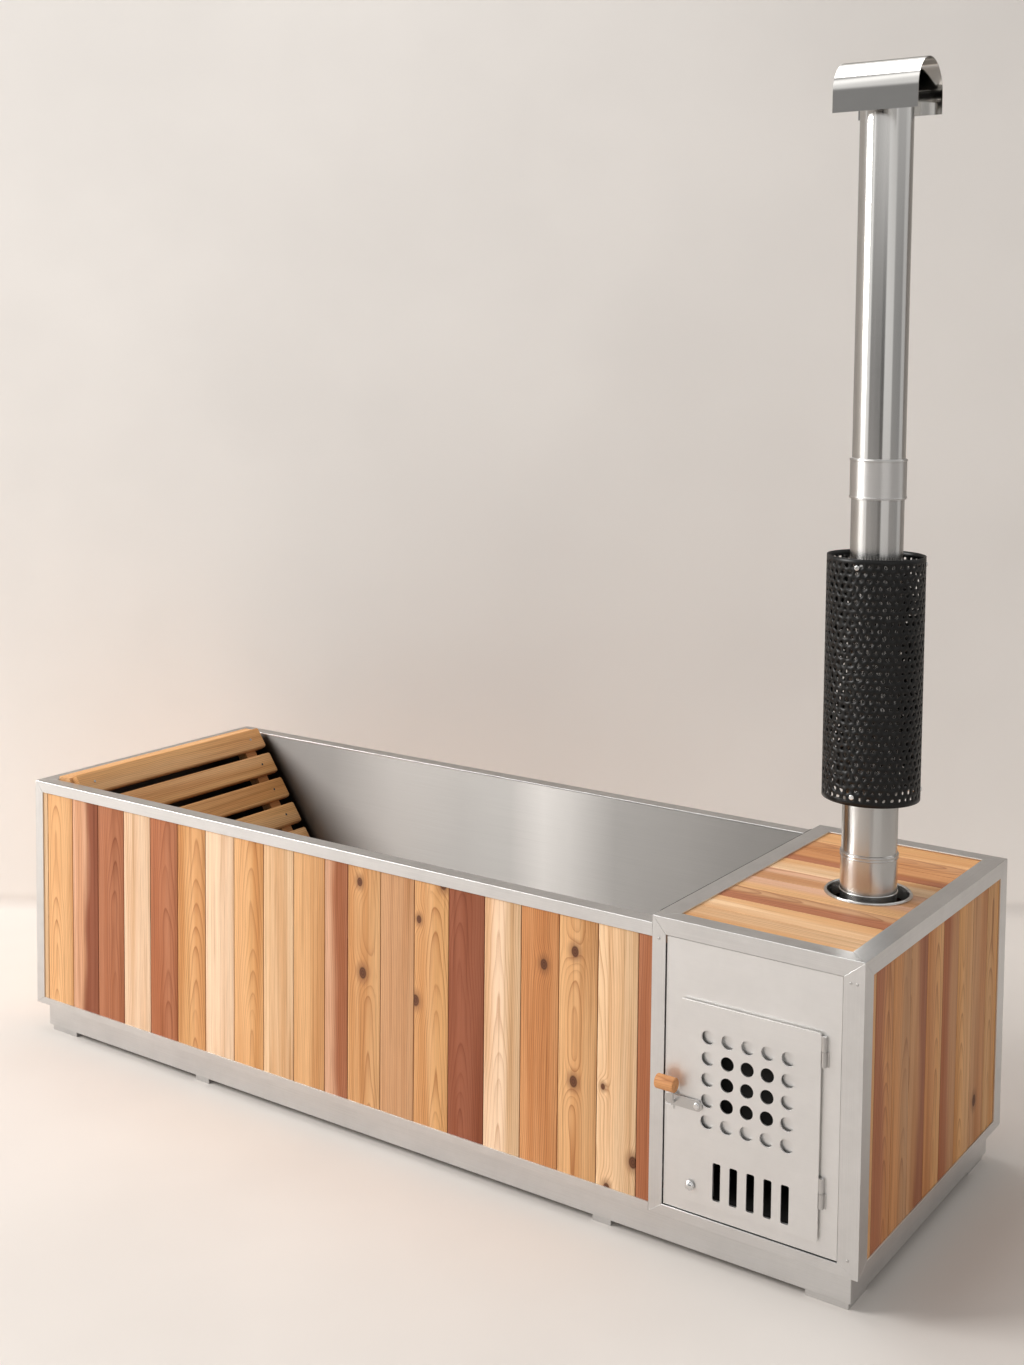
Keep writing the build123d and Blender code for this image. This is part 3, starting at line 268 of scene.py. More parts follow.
def carried(outlines, path_points):
    """A closed outline carried along a path: points[s, p] = the outline's p at the path's s."""
    sections, around = outlines.shape[:2]
    quads = [tuple(q) for q in grid_quads(sections, around, False, True).tolist()]
    last = (sections - 1) * around
    caps = [tuple(range(around))[::-1], tuple(range(last, last + around))]
    return (outlines + path_points).reshape(-1, 3), quads + caps


def facing_out(verts, faces):
    """The faces, turned round when the volume that they enclose comes out negative."""
    verts = np.asarray(verts)
    total = 0.0
    by_size = {}
    for face in faces:
        by_size.setdefault(len(face), []).append(face)
    for size, group in by_size.items():
        ring = verts[np.array(group)]
        for k in range(1, size - 1):
            total += np.einsum("ij,ij->i", ring[:, 0], np.cross(ring[:, k], ring[:, k + 1])).sum()
    return faces if total > 0 else [face[::-1] for face in faces]


def joined(parts):
    """Several closed pieces as one list of points and faces, each facing outwards."""
    verts, faces, start = [], [], 0
    for points, polygons in parts:
        polygons = facing_out(points, polygons)
        verts.append(points)
        faces += [tuple(i + start for i in face) for face in polygons]
        start += len(points)
    return np.concatenate(verts), faces


def add_piece(name, verts, faces, material, body=TUB, replaces=(), crease=35.0, values=None):
    """Puts points and faces into a mesh, gives it its finish and lets it ride on a body."""
    mesh = bpy.data.meshes.new(name)
    mesh.from_pydata(np.asarray(verts, float).tolist(), [], faces)
    mesh.validate()
    mesh.polygons.foreach_set("use_smooth", np.ones(len(mesh.polygons), bool))
    mesh.set_sharp_from_angle(angle=math.radians(crease))
    for key, array in (values or {}).items():
        array = np.asarray(array, np.float32)
        if array.ndim == 1:
            mesh.attributes.new(key, "FLOAT", "POINT").data.foreach_set("value", array)
        elif array.shape[1] == 3:
            mesh.attributes.new(key, "FLOAT_VECTOR", "POINT").data.foreach_set("vector", array.ravel())
        else:
            mesh.attributes.new(key, "FLOAT_COLOR", "POINT").data.foreach_set("color", array.ravel())
    mesh.update()
    piece = bpy.data.objects.new(name, mesh)
    bpy.context.scene.collection.objects.link(piece)
    mesh.materials.append(material)
    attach(piece, body)
    if replaces:
        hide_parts(*replaces)
    return piece


def body_of(node):
    """The body that a CAD node rides on."""
    for body, members in frame["record"]["behaviour"]["bodies"].items():
        if node in members:
            return body
    raise RuntimeError(f"no body holds {node}")


def merged_copy(node):
    """A CAD node's mesh as a copy, with its doubles merged and its flat faces made whole."""
    mesh = frame["nodes"][node].data.copy()
    if "custom_normal" in mesh.attributes:
        mesh.attributes.remove(mesh.attributes["custom_normal"])
    work = bmesh.new()
    work.from_mesh(mesh)
    bmesh.ops.remove_doubles(work, verts=work.verts, dist=2e-6)
    bmesh.ops.dissolve_limit(work, angle_limit=math.radians(0.5), verts=work.verts, edges=work.edges)
    work.to_mesh(mesh)
    work.free()
    return mesh


def eased_copy(node, name, material, width):
    """A copy of a CAD node with narrow rounded edges, which stands for the node."""
    mesh = merged_copy(node)
    mesh.name = name
    mesh.materials.clear()
    mesh.materials.append(material)
    mesh.polygons.foreach_set("use_smooth", np.ones(len(mesh.polygons), bool))
    mesh.set_sharp_from_angle(angle=math.radians(30))
    piece = bpy.data.objects.new(name, mesh)
    bpy.context.scene.collection.objects.link(piece)
    bevel = piece.modifiers.new("edges", "BEVEL")
    bevel.width = width
    bevel.segments = 2
    bevel.limit_method = "ANGLE"
    bevel.angle_limit = math.radians(40)
    bevel.loop_slide = False
    bevel.harden_normals = True
    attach(piece, body_of(node))
    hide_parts(node)
    return piece


# Shader nodes


def put(tree, kind, settings=None, **inputs):
    """Adds a node; an input is given by its name, with _ for a space, as a value or a socket."""
    node = tree.nodes.new(kind)
    for key, value in (settings or {}).items():
        setattr(node, key, value)
    for key, value in inputs.items():
        socket = node.inputs[int(key[1:])] if key[0] == "i" and key[1:].isdigit() else node.inputs[
            key.replace("_", " ")]
        if isinstance(value, bpy.types.NodeSocket):
            tree.links.new(value, socket)
        else:
            socket.default_value = value
    return node


def sums(tree, operation, a, b=0.0, c=0.0):
    """One Math node's result."""
    return put(tree, "ShaderNodeMath", {"operation": operation}, i0=a, i1=b, i2=c).outputs[0]


def vectors(tree, operation, a, b=(0.0, 0.0, 0.0)):
    """One Vector Math node's result."""
    return put(tree, "ShaderNodeVectorMath", {"operation": operation}, i0=a, i1=b).outputs[0]


def mixed(tree, share, a, b, blend="MIX"):
    """Two colours mixed by a share from 0 to 1."""
    return put(tree, "ShaderNodeMix", {"data_type": "RGBA", "blend_type": blend, "clamp_factor": True},
               i0=share, i6=a, i7=b).outputs[2]


def grey(tree, value):
    """A value as a grey colour."""
    return put(tree, "ShaderNodeCombineColor", None, i0=value, i1=value, i2=value).outputs[0]


def noise(tree, vector, scale=1.0, detail=2.0, rough=0.5):
    """A noise value from 0 to 1."""
    return put(tree, "ShaderNodeTexNoise", {"noise_dimensions": "3D"}, Vector=vector, Scale=scale,
               Detail=detail, Roughness=rough).outputs[0]


def ramp(tree, value, stops):
    """A value led through a ramp of (place, grey) stops."""
    node = put(tree, "ShaderNodeValToRGB", None, i0=value)
    points = node.color_ramp.elements
    while len(points) < len(stops):
        points.new(0.5)
    for point, (place, grey) in zip(points, stops):
        point.position = place
        point.color = (grey, grey, grey, 1.0)
    return node.outputs[0]


def spread(tree, value, low, high, to_low=0.0, to_high=1.0, smooth=True):
    """A value spread from one range to another, held at its ends."""
    node = put(tree, "ShaderNodeMapRange", {"clamp": True}, Value=value, From_Min=low, From_Max=high,
               To_Min=to_low, To_Max=to_high)
    node.interpolation_type = "SMOOTHSTEP" if smooth else "LINEAR"
    return node.outputs[0]


def group(name, inputs, outputs):
    """An empty node group with named sockets, and its input and output nodes."""
    tree = bpy.data.node_groups.new(name, "ShaderNodeTree")
    for label, kind, default in inputs:
        socket = tree.interface.new_socket(name=label, in_out="INPUT", socket_type=kind)
        if default is not None:
            socket.default_value = default
    for label, kind in outputs:
        tree.interface.new_socket(name=label, in_out="OUTPUT", socket_type=kind)
    return tree, tree.nodes.new("NodeGroupInput"), tree.nodes.new("NodeGroupOutput")


def timber_group():
    """Sawn timber: rings round a log's heart, fibres, tone drift and knots, seen on a cut board."""
    tree, given, out = group(
        "timber_figure",
        [("Place", "NodeSocketVector", None), ("Cut", "NodeSocketVector", (0.02, 0.02, 0.03)),
         ("Seed", "NodeSocketFloat", 0.0), ("Left", "NodeSocketColor", (0.7, 0.4, 0.2, 1)),
         ("Right", "NodeSocketColor", (0.7, 0.4, 0.2, 1)), ("Ring", "NodeSocketFloat", 0.005),
         ("Knots", "NodeSocketFloat", 0.0), ("Contrast", "NodeSocketFloat", 0.6)],
        [("Color", "NodeSocketColor"), ("Roughness", "NodeSocketFloat"), ("Height", "NodeSocketFloat")])
    place = given.outputs["Place"]
    seed = given.outputs["Seed"]
    parts = put(tree, "ShaderNodeSeparateXYZ", None, i0=place)
    across, depth, along = parts.outputs
    cut = put(tree, "ShaderNodeSeparateXYZ", None, i0=given.outputs["Cut"])
    aside, below, taper = cut.outputs
    shift = put(tree, "ShaderNodeCombineXYZ", None, i0=sums(tree, "MULTIPLY", seed, 3.13),
                i1=sums(tree, "MULTIPLY", seed, 7.71), i2=sums(tree, "MULTIPLY", seed, 1.37)).outputs[0]

    def field(x, y, z, detail=2.0, rough=0.5):
        """Noise that is stretched along the grain and moved on to the board's own log."""
        stretched = vectors(tree, "MULTIPLY", place, (x, y, z))
        return noise(tree, vectors(tree, "ADD", stretched, shift), 1.0, detail, rough)

    drift = sums(tree, "SUBTRACT", field(7, 7, 2.6), 0.5)
    wander = sums(tree, "SUBTRACT", field(26, 26, 7.0), 0.5)
    fibre = field(900, 900, 16, 3.0, 0.6)
    streak = field(130, 130, 2.5, 3.0, 0.55)
    broad = field(30, 30, 1.1, 2.0)

    flat = put(tree, "ShaderNodeCombineXYZ", None, i0=across, i1=along).outputs[0]
    cell = (0.075, 0.26, 1.0)
    cells = vectors(tree, "ADD", vectors(tree, "DIVIDE", flat, cell), shift)
    voronoi = put(tree, "ShaderNodeTexVoronoi", {"voronoi_dimensions": "2D", "feature": "F1"},
                  Vector=cells, Scale=1.0, Randomness=0.75)
    away = vectors(tree, "MULTIPLY", vectors(tree, "SUBTRACT", cells, voronoi.outputs["Position"]), cell)
    offset = put(tree, "ShaderNodeSeparateXYZ", None, i0=away)
    squashed = put(tree, "ShaderNodeCombineXYZ", None, i0=offset.outputs[0],
                   i1=sums(tree, "MULTIPLY", offset.outputs[1], 0.72)).outputs[0]
    reach = put(tree, "ShaderNodeVectorMath", {"operation": "LENGTH"}, i0=squashed).outputs["Value"]
    luck = put(tree, "ShaderNodeSeparateColor", None, i0=voronoi.outputs["Color"])
    there = sums(tree, "LESS_THAN", luck.outputs[0], given.outputs["Knots"])
    size = sums(tree, "MULTIPLY_ADD", luck.outputs[1], 0.006, 0.0035)
    ratio = sums(tree, "DIVIDE", reach, size)
    swell = sums(tree, "MULTIPLY", there, sums(tree, "EXPONENT", sums(
        tree, "MULTIPLY", sums(tree, "MULTIPLY", ratio, ratio), -0.12)))
    core = sums(tree, "MULTIPLY", there, spread(tree, ratio, 1.15, 0.75))
    halo = sums(tree, "MULTIPLY", there, spread(tree, ratio, 2.6, 0.9))

    side = sums(tree, "SUBTRACT", sums(tree, "MULTIPLY_ADD", wander, 0.006, across), aside)
    down = sums(tree, "ADD", sums(tree, "ADD", below, depth), sums(
        tree, "MULTIPLY_ADD", taper, along, sums(tree, "MULTIPLY", drift, 0.035)))
    radius = sums(tree, "SQRT", sums(tree, "ADD", sums(tree, "MULTIPLY", side, side),
                                     sums(tree, "MULTIPLY", down, down)))
    radius = sums(tree, "MULTIPLY_ADD", swell, 0.011, radius)
    count = sums(tree, "DIVIDE", radius, given.outputs["Ring"])
    late = ramp(tree, sums(tree, "FRACT", count), YEAR_RING)
    year = put(tree, "ShaderNodeTexWhiteNoise", {"noise_dimensions": "1D"},
               W=sums(tree, "ADD", sums(tree, "FLOOR", count), seed)).outputs[0]
    strength = sums(tree, "MULTIPLY", late, sums(tree, "MULTIPLY_ADD", year, 0.75, 0.3))

    border = sums(tree, "MULTIPLY_ADD", drift, 0.06, across)
    share = spread(tree, border, -0.012, 0.014)
    base = mixed(tree, share, given.outputs["Left"], given.outputs["Right"])
    warm = mixed(tree, 1.0, base, (0.80, 0.66, 0.52, 1), "MULTIPLY")
    base = mixed(tree, spread(tree, broad, 0.35, 0.72), base, warm)
    ring_tone = mixed(tree, 1.0, base, (0.55, 0.37, 0.26, 1), "MULTIPLY")
    colour = mixed(tree, sums(tree, "MULTIPLY", strength, given.outputs["Contrast"]), base, ring_tone)
    streaky = mixed(tree, 1.0, colour, (0.76, 0.68, 0.60, 1), "MULTIPLY")
    colour = mixed(tree, spread(tree, streak, 0.5, 0.78), colour, streaky)
    light = spread(tree, fibre, 0.2, 0.8, 0.90, 1.10)
    colour = mixed(tree, 1.0, colour, grey(tree, light), "MULTIPLY")
    colour = mixed(tree, sums(tree, "MULTIPLY", halo, 0.55), colour, (0.26, 0.10, 0.04, 1))
    knot_rings = spread(tree, sums(tree, "SINE", sums(tree, "MULTIPLY", ratio, 14.0)), -1.0, 1.0, 0.55, 1.0)
    knot = mixed(tree, knot_rings, (0.05, 0.018, 0.008, 1), (0.17, 0.06, 0.025, 1))
    colour = mixed(tree, core, colour, knot)
    rough = sums(tree, "MULTIPLY_ADD", fibre, 0.18, sums(tree, "MULTIPLY_ADD", strength, -0.06, 0.47))
    height = sums(tree, "MULTIPLY_ADD", strength, 0.5, sums(tree, "MULTIPLY", fibre, 0.5))
    tree.links.new(colour, out.inputs["Color"])
    tree.links.new(rough, out.inputs["Roughness"])
    tree.links.new(height, out.inputs["Height"])
    return tree


def steel_group():
    """Worked sheet: fine streaks along one way, cloudy handling marks and a little unevenness."""
    tree, given, out = group(
        "worked_steel",
        [("Place", "NodeSocketVector", None), ("Stretch", "NodeSocketVector", (1, 1, 1)),
         ("Tone", "NodeSocketColor", (0.6, 0.6, 0.6, 1)), ("Streaks", "NodeSocketFloat", 0.3),
         ("Clouds", "NodeSocketFloat", 0.3), ("Gloss", "NodeSocketFloat", 0.3)],
        [("Color", "NodeSocketColor"), ("Roughness", "NodeSocketFloat"), ("Height", "NodeSocketFloat")])
    place = given.outputs["Place"]
    fine = noise(tree, vectors(tree, "MULTIPLY", place, given.outputs["Stretch"]), 1.0, 4.0, 0.65)
    cloud = noise(tree, place, 6.0, 4.0, 0.6)
    spots = noise(tree, place, 45.0, 3.0, 0.6)
    streaks = sums(tree, "MULTIPLY", sums(tree, "SUBTRACT", fine, 0.5), given.outputs["Streaks"])
    clouds = sums(tree, "MULTIPLY", sums(tree, "SUBTRACT", cloud, 0.5), given.outputs["Clouds"])
    specks = sums(tree, "MULTIPLY", sums(tree, "SUBTRACT", spots, 0.5), sums(
        tree, "MULTIPLY", given.outputs["Clouds"], 0.4))
    level = sums(tree, "ADD", sums(tree, "ADD", streaks, clouds), specks)
    light = sums(tree, "ADD", level, 1.0)
    colour = mixed(tree, 1.0, given.outputs["Tone"], grey(tree, light), "MULTIPLY")
    rough = sums(tree, "ADD", given.outputs["Gloss"], sums(tree, "MULTIPLY", level, 0.35))
    tree.links.new(colour, out.inputs["Color"])
    tree.links.new(rough, out.inputs["Roughness"])
    tree.links.new(fine, out.inputs["Height"])
    return tree


GROUPS = {}


def shared(name):
    """A shared node group, built the first time that it is asked for."""
    makers = {"timber_figure": timber_group, "worked_steel": steel_group}
    if name not in GROUPS:
        GROUPS[name] = makers[name]()
    return GROUPS[name]


def plain_material(name):
    """A new material with its shader and output, and nothing linked yet."""
    material = bpy.data.materials.new(name)
    material.use_nodes = True
    tree = material.node_tree
    tree.nodes.clear()
    shader = tree.nodes.new("ShaderNodeBsdfPrincipled")
    end = tree.nodes.new("ShaderNodeOutputMaterial")
    tree.links.new(shader.outputs[0], end.inputs["Surface"])
    return material, tree, shader


def use_group(tree, name, **inputs):
    """Places a shared group in a material and sets its named inputs."""
    node = tree.nodes.new("ShaderNodeGroup")
    node.node_tree = shared(name)
    for key, value in inputs.items():
        socket = node.inputs[key]
        if isinstance(value, bpy.types.NodeSocket):
            tree.links.new(value, socket)
        else:
            socket.default_value = value
    return node


def finish_with(tree, shader, node, bump, distance=0.001):
    """Leads a group's colour, roughness and height into the shader."""
    tree.links.new(node.outputs["Color"], shader.inputs["Base Color"])
    tree.links.new(node.outputs["Roughness"], shader.inputs["Roughness"])
    relief = put(tree, "ShaderNodeBump", None, Strength=bump, Distance=distance,
                 Height=node.outputs["Height"])
    tree.links.new(relief.outputs[0], shader.inputs["Normal"])


def board_timber():
    """Timber of the boards: place, cut, tones and knots come from the boards' own attributes."""
    material, tree, shader = plain_material("board_timber")

    def own(name, output):
        """An attribute that the board carries."""
        return put(tree, "ShaderNodeAttribute", {"attribute_name": name}).outputs[output]

    ring = bpy.context.scene.hot_tub_timber.ring
    node = use_group(tree, "timber_figure", Place=own("board_place", "Vector"),
                     Cut=own("board_cut", "Vector"), Seed=own("board_seed", "Fac"),
                     Left=own("tone_left", "Color"), Right=own("tone_right", "Color"),
                     Knots=own("board_knots", "Fac"), Ring=ring, Contrast=0.85)
    finish_with(tree, shader, node, 0.25)
    # Painted shade in the grooves: the eased edges and sides of each board, from 0.3 mm to 1.6 mm behind its
    # face and deeper, are darkened towards a dark brown
    depth = put(tree, "ShaderNodeSeparateXYZ", None, i0=own("board_place", "Vector")).outputs[1]
    joint = mixed(tree, 1.0, node.outputs["Color"], (0.22, 0.13, 0.08, 1), "MULTIPLY")
    tree.links.new(mixed(tree, spread(tree, depth, 0.0003, 0.0016), node.outputs["Color"], joint),
                   shader.inputs["Base Color"])
    shader.inputs["Specular IOR Level"].default_value = 0.35
    return material


def block_timber(name, left, right, turn, ring=0.004, contrast=0.5):
    """Timber of a piece without boards' attributes: its grain runs along the turned place's Z."""
    material, tree, shader = plain_material(name)
    place = put(tree, "ShaderNodeTexCoord").outputs["Object"]
    place = put(tree, "ShaderNodeMapping", {"vector_type": "POINT"}, Vector=place, Rotation=turn).outputs[0]
    node = use_group(tree, "timber_figure", Place=place, Cut=(0.03, 0.03, 0.02), Seed=3.0,
                     Left=(*left, 1), Right=(*right, 1), Knots=0.0, Ring=ring, Contrast=contrast)
    finish_with(tree, shader, node, 0.2)
    shader.inputs["Specular IOR Level"].default_value = 0.35
    return material


def steel(name, tone, stretch, streaks, clouds, gloss, bump, metallic=1.0, brushed=None, painted_reflection=None,
          ringed=False):
    """Worked steel whose streaks run along the way in which stretch is smallest.

    A brushed way spreads the gloss across itself: the tangent is square to it and to the face.
    Ringed sheet was polished round and round an upright pipe, so its tangent is upright.
    Painted reflection gives places along X, as a share of the tub's length, where the sheet's colour is
    painted brighter or duller, standing for bands of reflected room.
    """
    material, tree, shader = plain_material(name)
    place = put(tree, "ShaderNodeTexCoord").outputs["Object"]
    node = use_group(tree, "worked_steel", Place=place, Stretch=stretch, Tone=(*tone, 1), Streaks=streaks,
                     Clouds=clouds, Gloss=gloss)
    finish_with(tree, shader, node, bump, 0.0004)
    shader.inputs["Metallic"].default_value = metallic
    # Painted reflection: bright and dull bands along X multiplied into the steel's colour
    if painted_reflection:
        along = put(tree, "ShaderNodeSeparateXYZ", None, i0=place).outputs[0]
        level = ramp(tree, spread(tree, along, CAD_BOX[0][0], CAD_BOX[1][0], smooth=False), painted_reflection)
        colour = mixed(tree, 1.0, node.outputs["Color"], level, "MULTIPLY")
        tree.links.new(colour, shader.inputs["Base Color"])
    if brushed:
        normal = put(tree, "ShaderNodeNewGeometry").outputs["Normal"]
        across = vectors(tree, "CROSS_PRODUCT", normal, brushed)
        tree.links.new(vectors(tree, "ADD", across, (0.0, 0.0, 0.001)), shader.inputs["Tangent"])
        shader.inputs["Anisotropic"].default_value = 0.97
    if ringed:
        upright = put(tree, "ShaderNodeCombineXYZ", None, i0=0.0, i1=0.0, i2=1.0).outputs[0]
        tree.links.new(upright, shader.inputs["Tangent"])
        shader.inputs["Anisotropic"].default_value = 0.95
    return material


def dark_paint():
    """Satin black paint with a weak gloss."""
    material = steel("guard_paint", (0.006, 0.006, 0.006), (500, 500, 500), 0.4, 0.2, 0.34, 0.08, 0.0)
    material.node_tree.nodes["Principled BSDF"].inputs["Specular IOR Level"].default_value = 0.32
    return material


# Streaks run along the way in which the noise is stretched least; the grain runs along a turned Z
ALONG = {"x": (6, 900, 900), "y": (900, 6, 900), "z": (900, 900, 6)}
GRAIN_X, GRAIN_Y = (0, math.pi / 2, 0), (math.pi / 2, 0, 0)
FINISHES = {}


def finish_of(name):
    """A named finish, made the first time that it is asked for."""
    if name in FINISHES:
        return FINISHES[name]
    looks = bpy.context.scene.hot_tub_steel
    bar, panel = tuple(looks.bar), tuple(looks.panel)
    makers = {
        "boards": board_timber,
        "bar_x": lambda: steel("bar_steel_x", bar, ALONG["x"], 0.20, 0.22, 0.34, 0.08),
        "bar_y": lambda: steel("bar_steel_y", bar, ALONG["y"], 0.20, 0.22, 0.34, 0.08),
        "bar_z": lambda: steel("bar_steel_z", bar, ALONG["z"], 0.20, 0.22, 0.34, 0.08),
        "panel": lambda: steel("panel_steel", panel, ALONG["x"], 0.04, 0.14, 0.44, 0.03),
        "tub": lambda: steel("tub_steel", (0.71, 0.68, 0.65), (4, 1400, 1400), 0.30, 0.05, 0.46, 0.03,
                             brushed=(1.0, 0.0, 0.0), painted_reflection=TUB_PAINTED_REFLECTION),
        "polished": lambda: steel("polished_steel", (0.66, 0.65, 0.635), (4, 4, 900), 0.03, 0.03, 0.19, 0.0,
                                  ringed=True),
        "satin_band": lambda: steel("satin_band_steel", (0.76, 0.75, 0.74), (8, 8, 700), 0.08, 0.06, 0.42,
                                    0.02, ringed=True),
        "cap": lambda: steel("cap_steel", (0.76, 0.75, 0.73), (5, 700, 700), 0.05, 0.10, 0.08, 0.0),
        "bright": lambda: steel("bright_steel", (0.82, 0.82, 0.82), (300, 300, 300), 0.03, 0.02, 0.10, 0.02),
        "latch": lambda: steel("latch_steel", (0.62, 0.61, 0.60), ALONG["x"], 0.05, 0.05, 0.34, 0.03),
        "iron": lambda: steel("sooty_iron", (0.035, 0.033, 0.031), (60, 60, 60), 0.5, 0.6, 0.78, 0.6, 0.4),
        "grey_inside": lambda: steel("plain_sheet", (0.40, 0.39, 0.38), (40, 40, 40), 0.2, 0.3, 0.5, 0.1),
        "guard": dark_paint,
        "rubber": lambda: steel("black_rubber", (0.012, 0.012, 0.012), (300, 300, 300), 0.3, 0.3, 0.7,
                                0.2, 0.0),
        "rope": lambda: steel("seal_rope", (0.55, 0.52, 0.46), (700, 700, 700), 0.7, 0.3, 0.9, 0.8, 0.0),
        "backrest": lambda: block_timber("backrest_timber", TONES["honey"], TONES["gold"], GRAIN_Y),
        "batten": lambda: block_timber("batten_timber", TONES["pale"], TONES["honey"], GRAIN_X),
        "grip": lambda: block_timber("grip_timber", TONES["gold"], TONES["orange"], GRAIN_X, 0.0022, 0.6),
        "ply": lambda: block_timber("ply_base", TONES["tan"], TONES["tan"], GRAIN_X),
    }
    FINISHES[name] = makers[name]()
    return FINISHES[name]


NODE_FINISH = {
    "plinth_long_rails": "bar_x", "plinth_end_rails": "bar_y", "feet": "bar_x", "cross_bearers": "bar_y",
    "base_panel": "ply", "stove_base_plate": "grey_inside", "front_rim": "bar_x", "back_rim": "bar_x",
    "head_rim": "bar_y", "tub_sills": "bar_x", "tub_posts": "bar_z", "deck_long_rails": "bar_x",
    "deck_cross_rails": "bar_y", "stove_long_sills": "bar_x", "stove_cross_sills": "bar_y",
    "stove_inner_posts": "bar_z", "stove_outer_posts": "bar_z", "cladding_battens": "batten",
    "deck_ledgers": "batten", "tub": "tub", "rim_seal": "rubber", "drain_waste": "bright",
    "drain_plug": "bright", "circulation_pipes": "tub", "stove_front_panel": "panel",
    "fire_chamber": "iron", "water_jacket": "grey_inside", "fire_grate": "iron",
    "fire_door_plate": "panel", "fire_door_tray": "panel", "fire_door_shield": "iron",
    "fire_door_seal": "rope", "door_stud": "bright", "door_hinge_barrels": "latch",
    "frame_hinge_barrels": "latch", "hinge_pins": "bright", "latch_pivot": "bright", "latch_bar": "latch",
    "latch_grip": "grip", "latch_keeper": "panel", "cap_straps": "satin_band", "guard_spacers": "bright",
    "backrest_battens": "backrest", "backrest_top_rail": "backrest", "backrest_screws": "bright",
    "frame_rivets": "latch", "deck_collar": "polished", "flue_base_pipe": "polished",
    "flue_middle_pipe": "polished", "flue_coupling": "satin_band", "flue_upper_pipe": "polished",
    "heat_guard": "guard", "rain_cap": "cap", "front_boards": "batten", "back_boards": "batten",
    "head_boards": "batten", "stove_end_boards": "batten", "stove_back_boards": "batten",
    "deck_boards": "batten", "backrest_slats": "backrest",
}

EASED_BARS = (
    "plinth_long_rails", "plinth_end_rails", "feet", "front_rim", "back_rim", "head_rim", "tub_sills",
    "tub_posts", "deck_long_rails", "deck_cross_rails", "stove_long_sills", "stove_cross_sills",
    "stove_inner_posts", "stove_outer_posts",
)
EASED_PLATES = ("stove_front_panel", "fire_door_plate", "fire_door_tray", "latch_bar", "latch_keeper")


# Boards


def board_outline(run, thickness, ease, steps=4):
    """Section of a board: quarter rounds on the two face edges, square at the back."""
    angle = np.linspace(0, np.pi / 2, steps)
    left = np.stack([ease - ease * np.cos(angle), ease - ease * np.sin(angle)], -1)
    right = np.stack([run - ease + ease * np.sin(angle), ease - ease * np.cos(angle)], -1)
    back = np.array([[run, thickness], [0.0, thickness]])
    return np.concatenate([left, right, back])


def board_values(count, picks, seed):
    """Tones, cut, knots and a number for each board, picked by name and varied a little."""
    random = np.random.default_rng(seed)
    rows = [picks[i % len(picks)] for i in range(count)]
    left = np.array([TONES[row[0]] for row in rows]) * random.uniform(0.92, 1.06, (count, 1))
    right = np.array([TONES[row[1]] for row in rows]) * random.uniform(0.92, 1.06, (count, 1))
    cut = np.array([CUTS[row[2]] for row in rows]) * random.uniform(0.7, 1.3, (count, 3))
    cut[:, 0] *= random.choice([-1.0, 1.0], count)
    knots = np.array([row[3] for row in rows])
    number = random.uniform(0, 40, count)
    return {"tone_left": np.c_[left, np.ones(count)], "tone_right": np.c_[right, np.ones(count)],
            "board_cut": cut, "board_knots": knots, "board_seed": number}


def board_row(name, node, edges, across, inwards, along, picks, seed, thickness):
    """Boards side by side between pairs of edges: a board's outline carried along its length.

    A point is edge * across + depth * inwards + height * along, from the node's own faces.
    """
    low, high = (np.array(corner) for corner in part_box(node))
    looks = bpy.context.scene.hot_tub_timber
    across, inwards, along = (np.array(way, float) for way in (across, inwards, along))
    face = np.where(inwards > 0, low, high) @ np.abs(inwards)
    ends = low @ np.abs(along), high @ np.abs(along)
    parts, places = [], []
    for start, end in edges:
        outline = board_outline(end - start, thickness, looks.ease)
        section = (start + outline[:, :1]) * across + (outline[:, 1:]) * inwards + face * np.abs(inwards)
        path = np.array([end_at * along for end_at in ends])[:, None, :]
        parts.append(carried(np.stack([section, section]), path))
        local = np.concatenate([outline - [(end - start) / 2, 0.0]] * 2)
        heights = np.repeat(ends, len(outline))
        places.append(np.c_[local, heights])
    verts, faces = joined(parts)
    each = len(verts) // len(edges)
    values = {key: np.repeat(array, each, 0) for key, array in board_values(len(edges), picks, seed).items()}
    values["board_place"] = np.concatenate(places)
    return add_piece(name, verts, faces, finish_of("boards"), TUB, (node,), 60.0, values)


def edges_between(low, high, widths, joint=0.0003):
    """Pairs of edges of boards laid from low to high; the last board is ripped to fit."""
    starts = [low]
    for width in widths:
        if high - starts[-1] <= width + 0.005:
            break
        starts.append(starts[-1] + width)
    ends = [s - joint for s in starts[1:]] + [high]
    return list(zip(starts, ends))


def even_widths(field, cover, first=None):
    """Board widths that fill a field evenly, near a given cover, after an optional first one."""
    rest = field - (first or 0.0)
    width = rest / round(rest / cover)
    lead = [first] if first else []
    return lead + [width] * 40


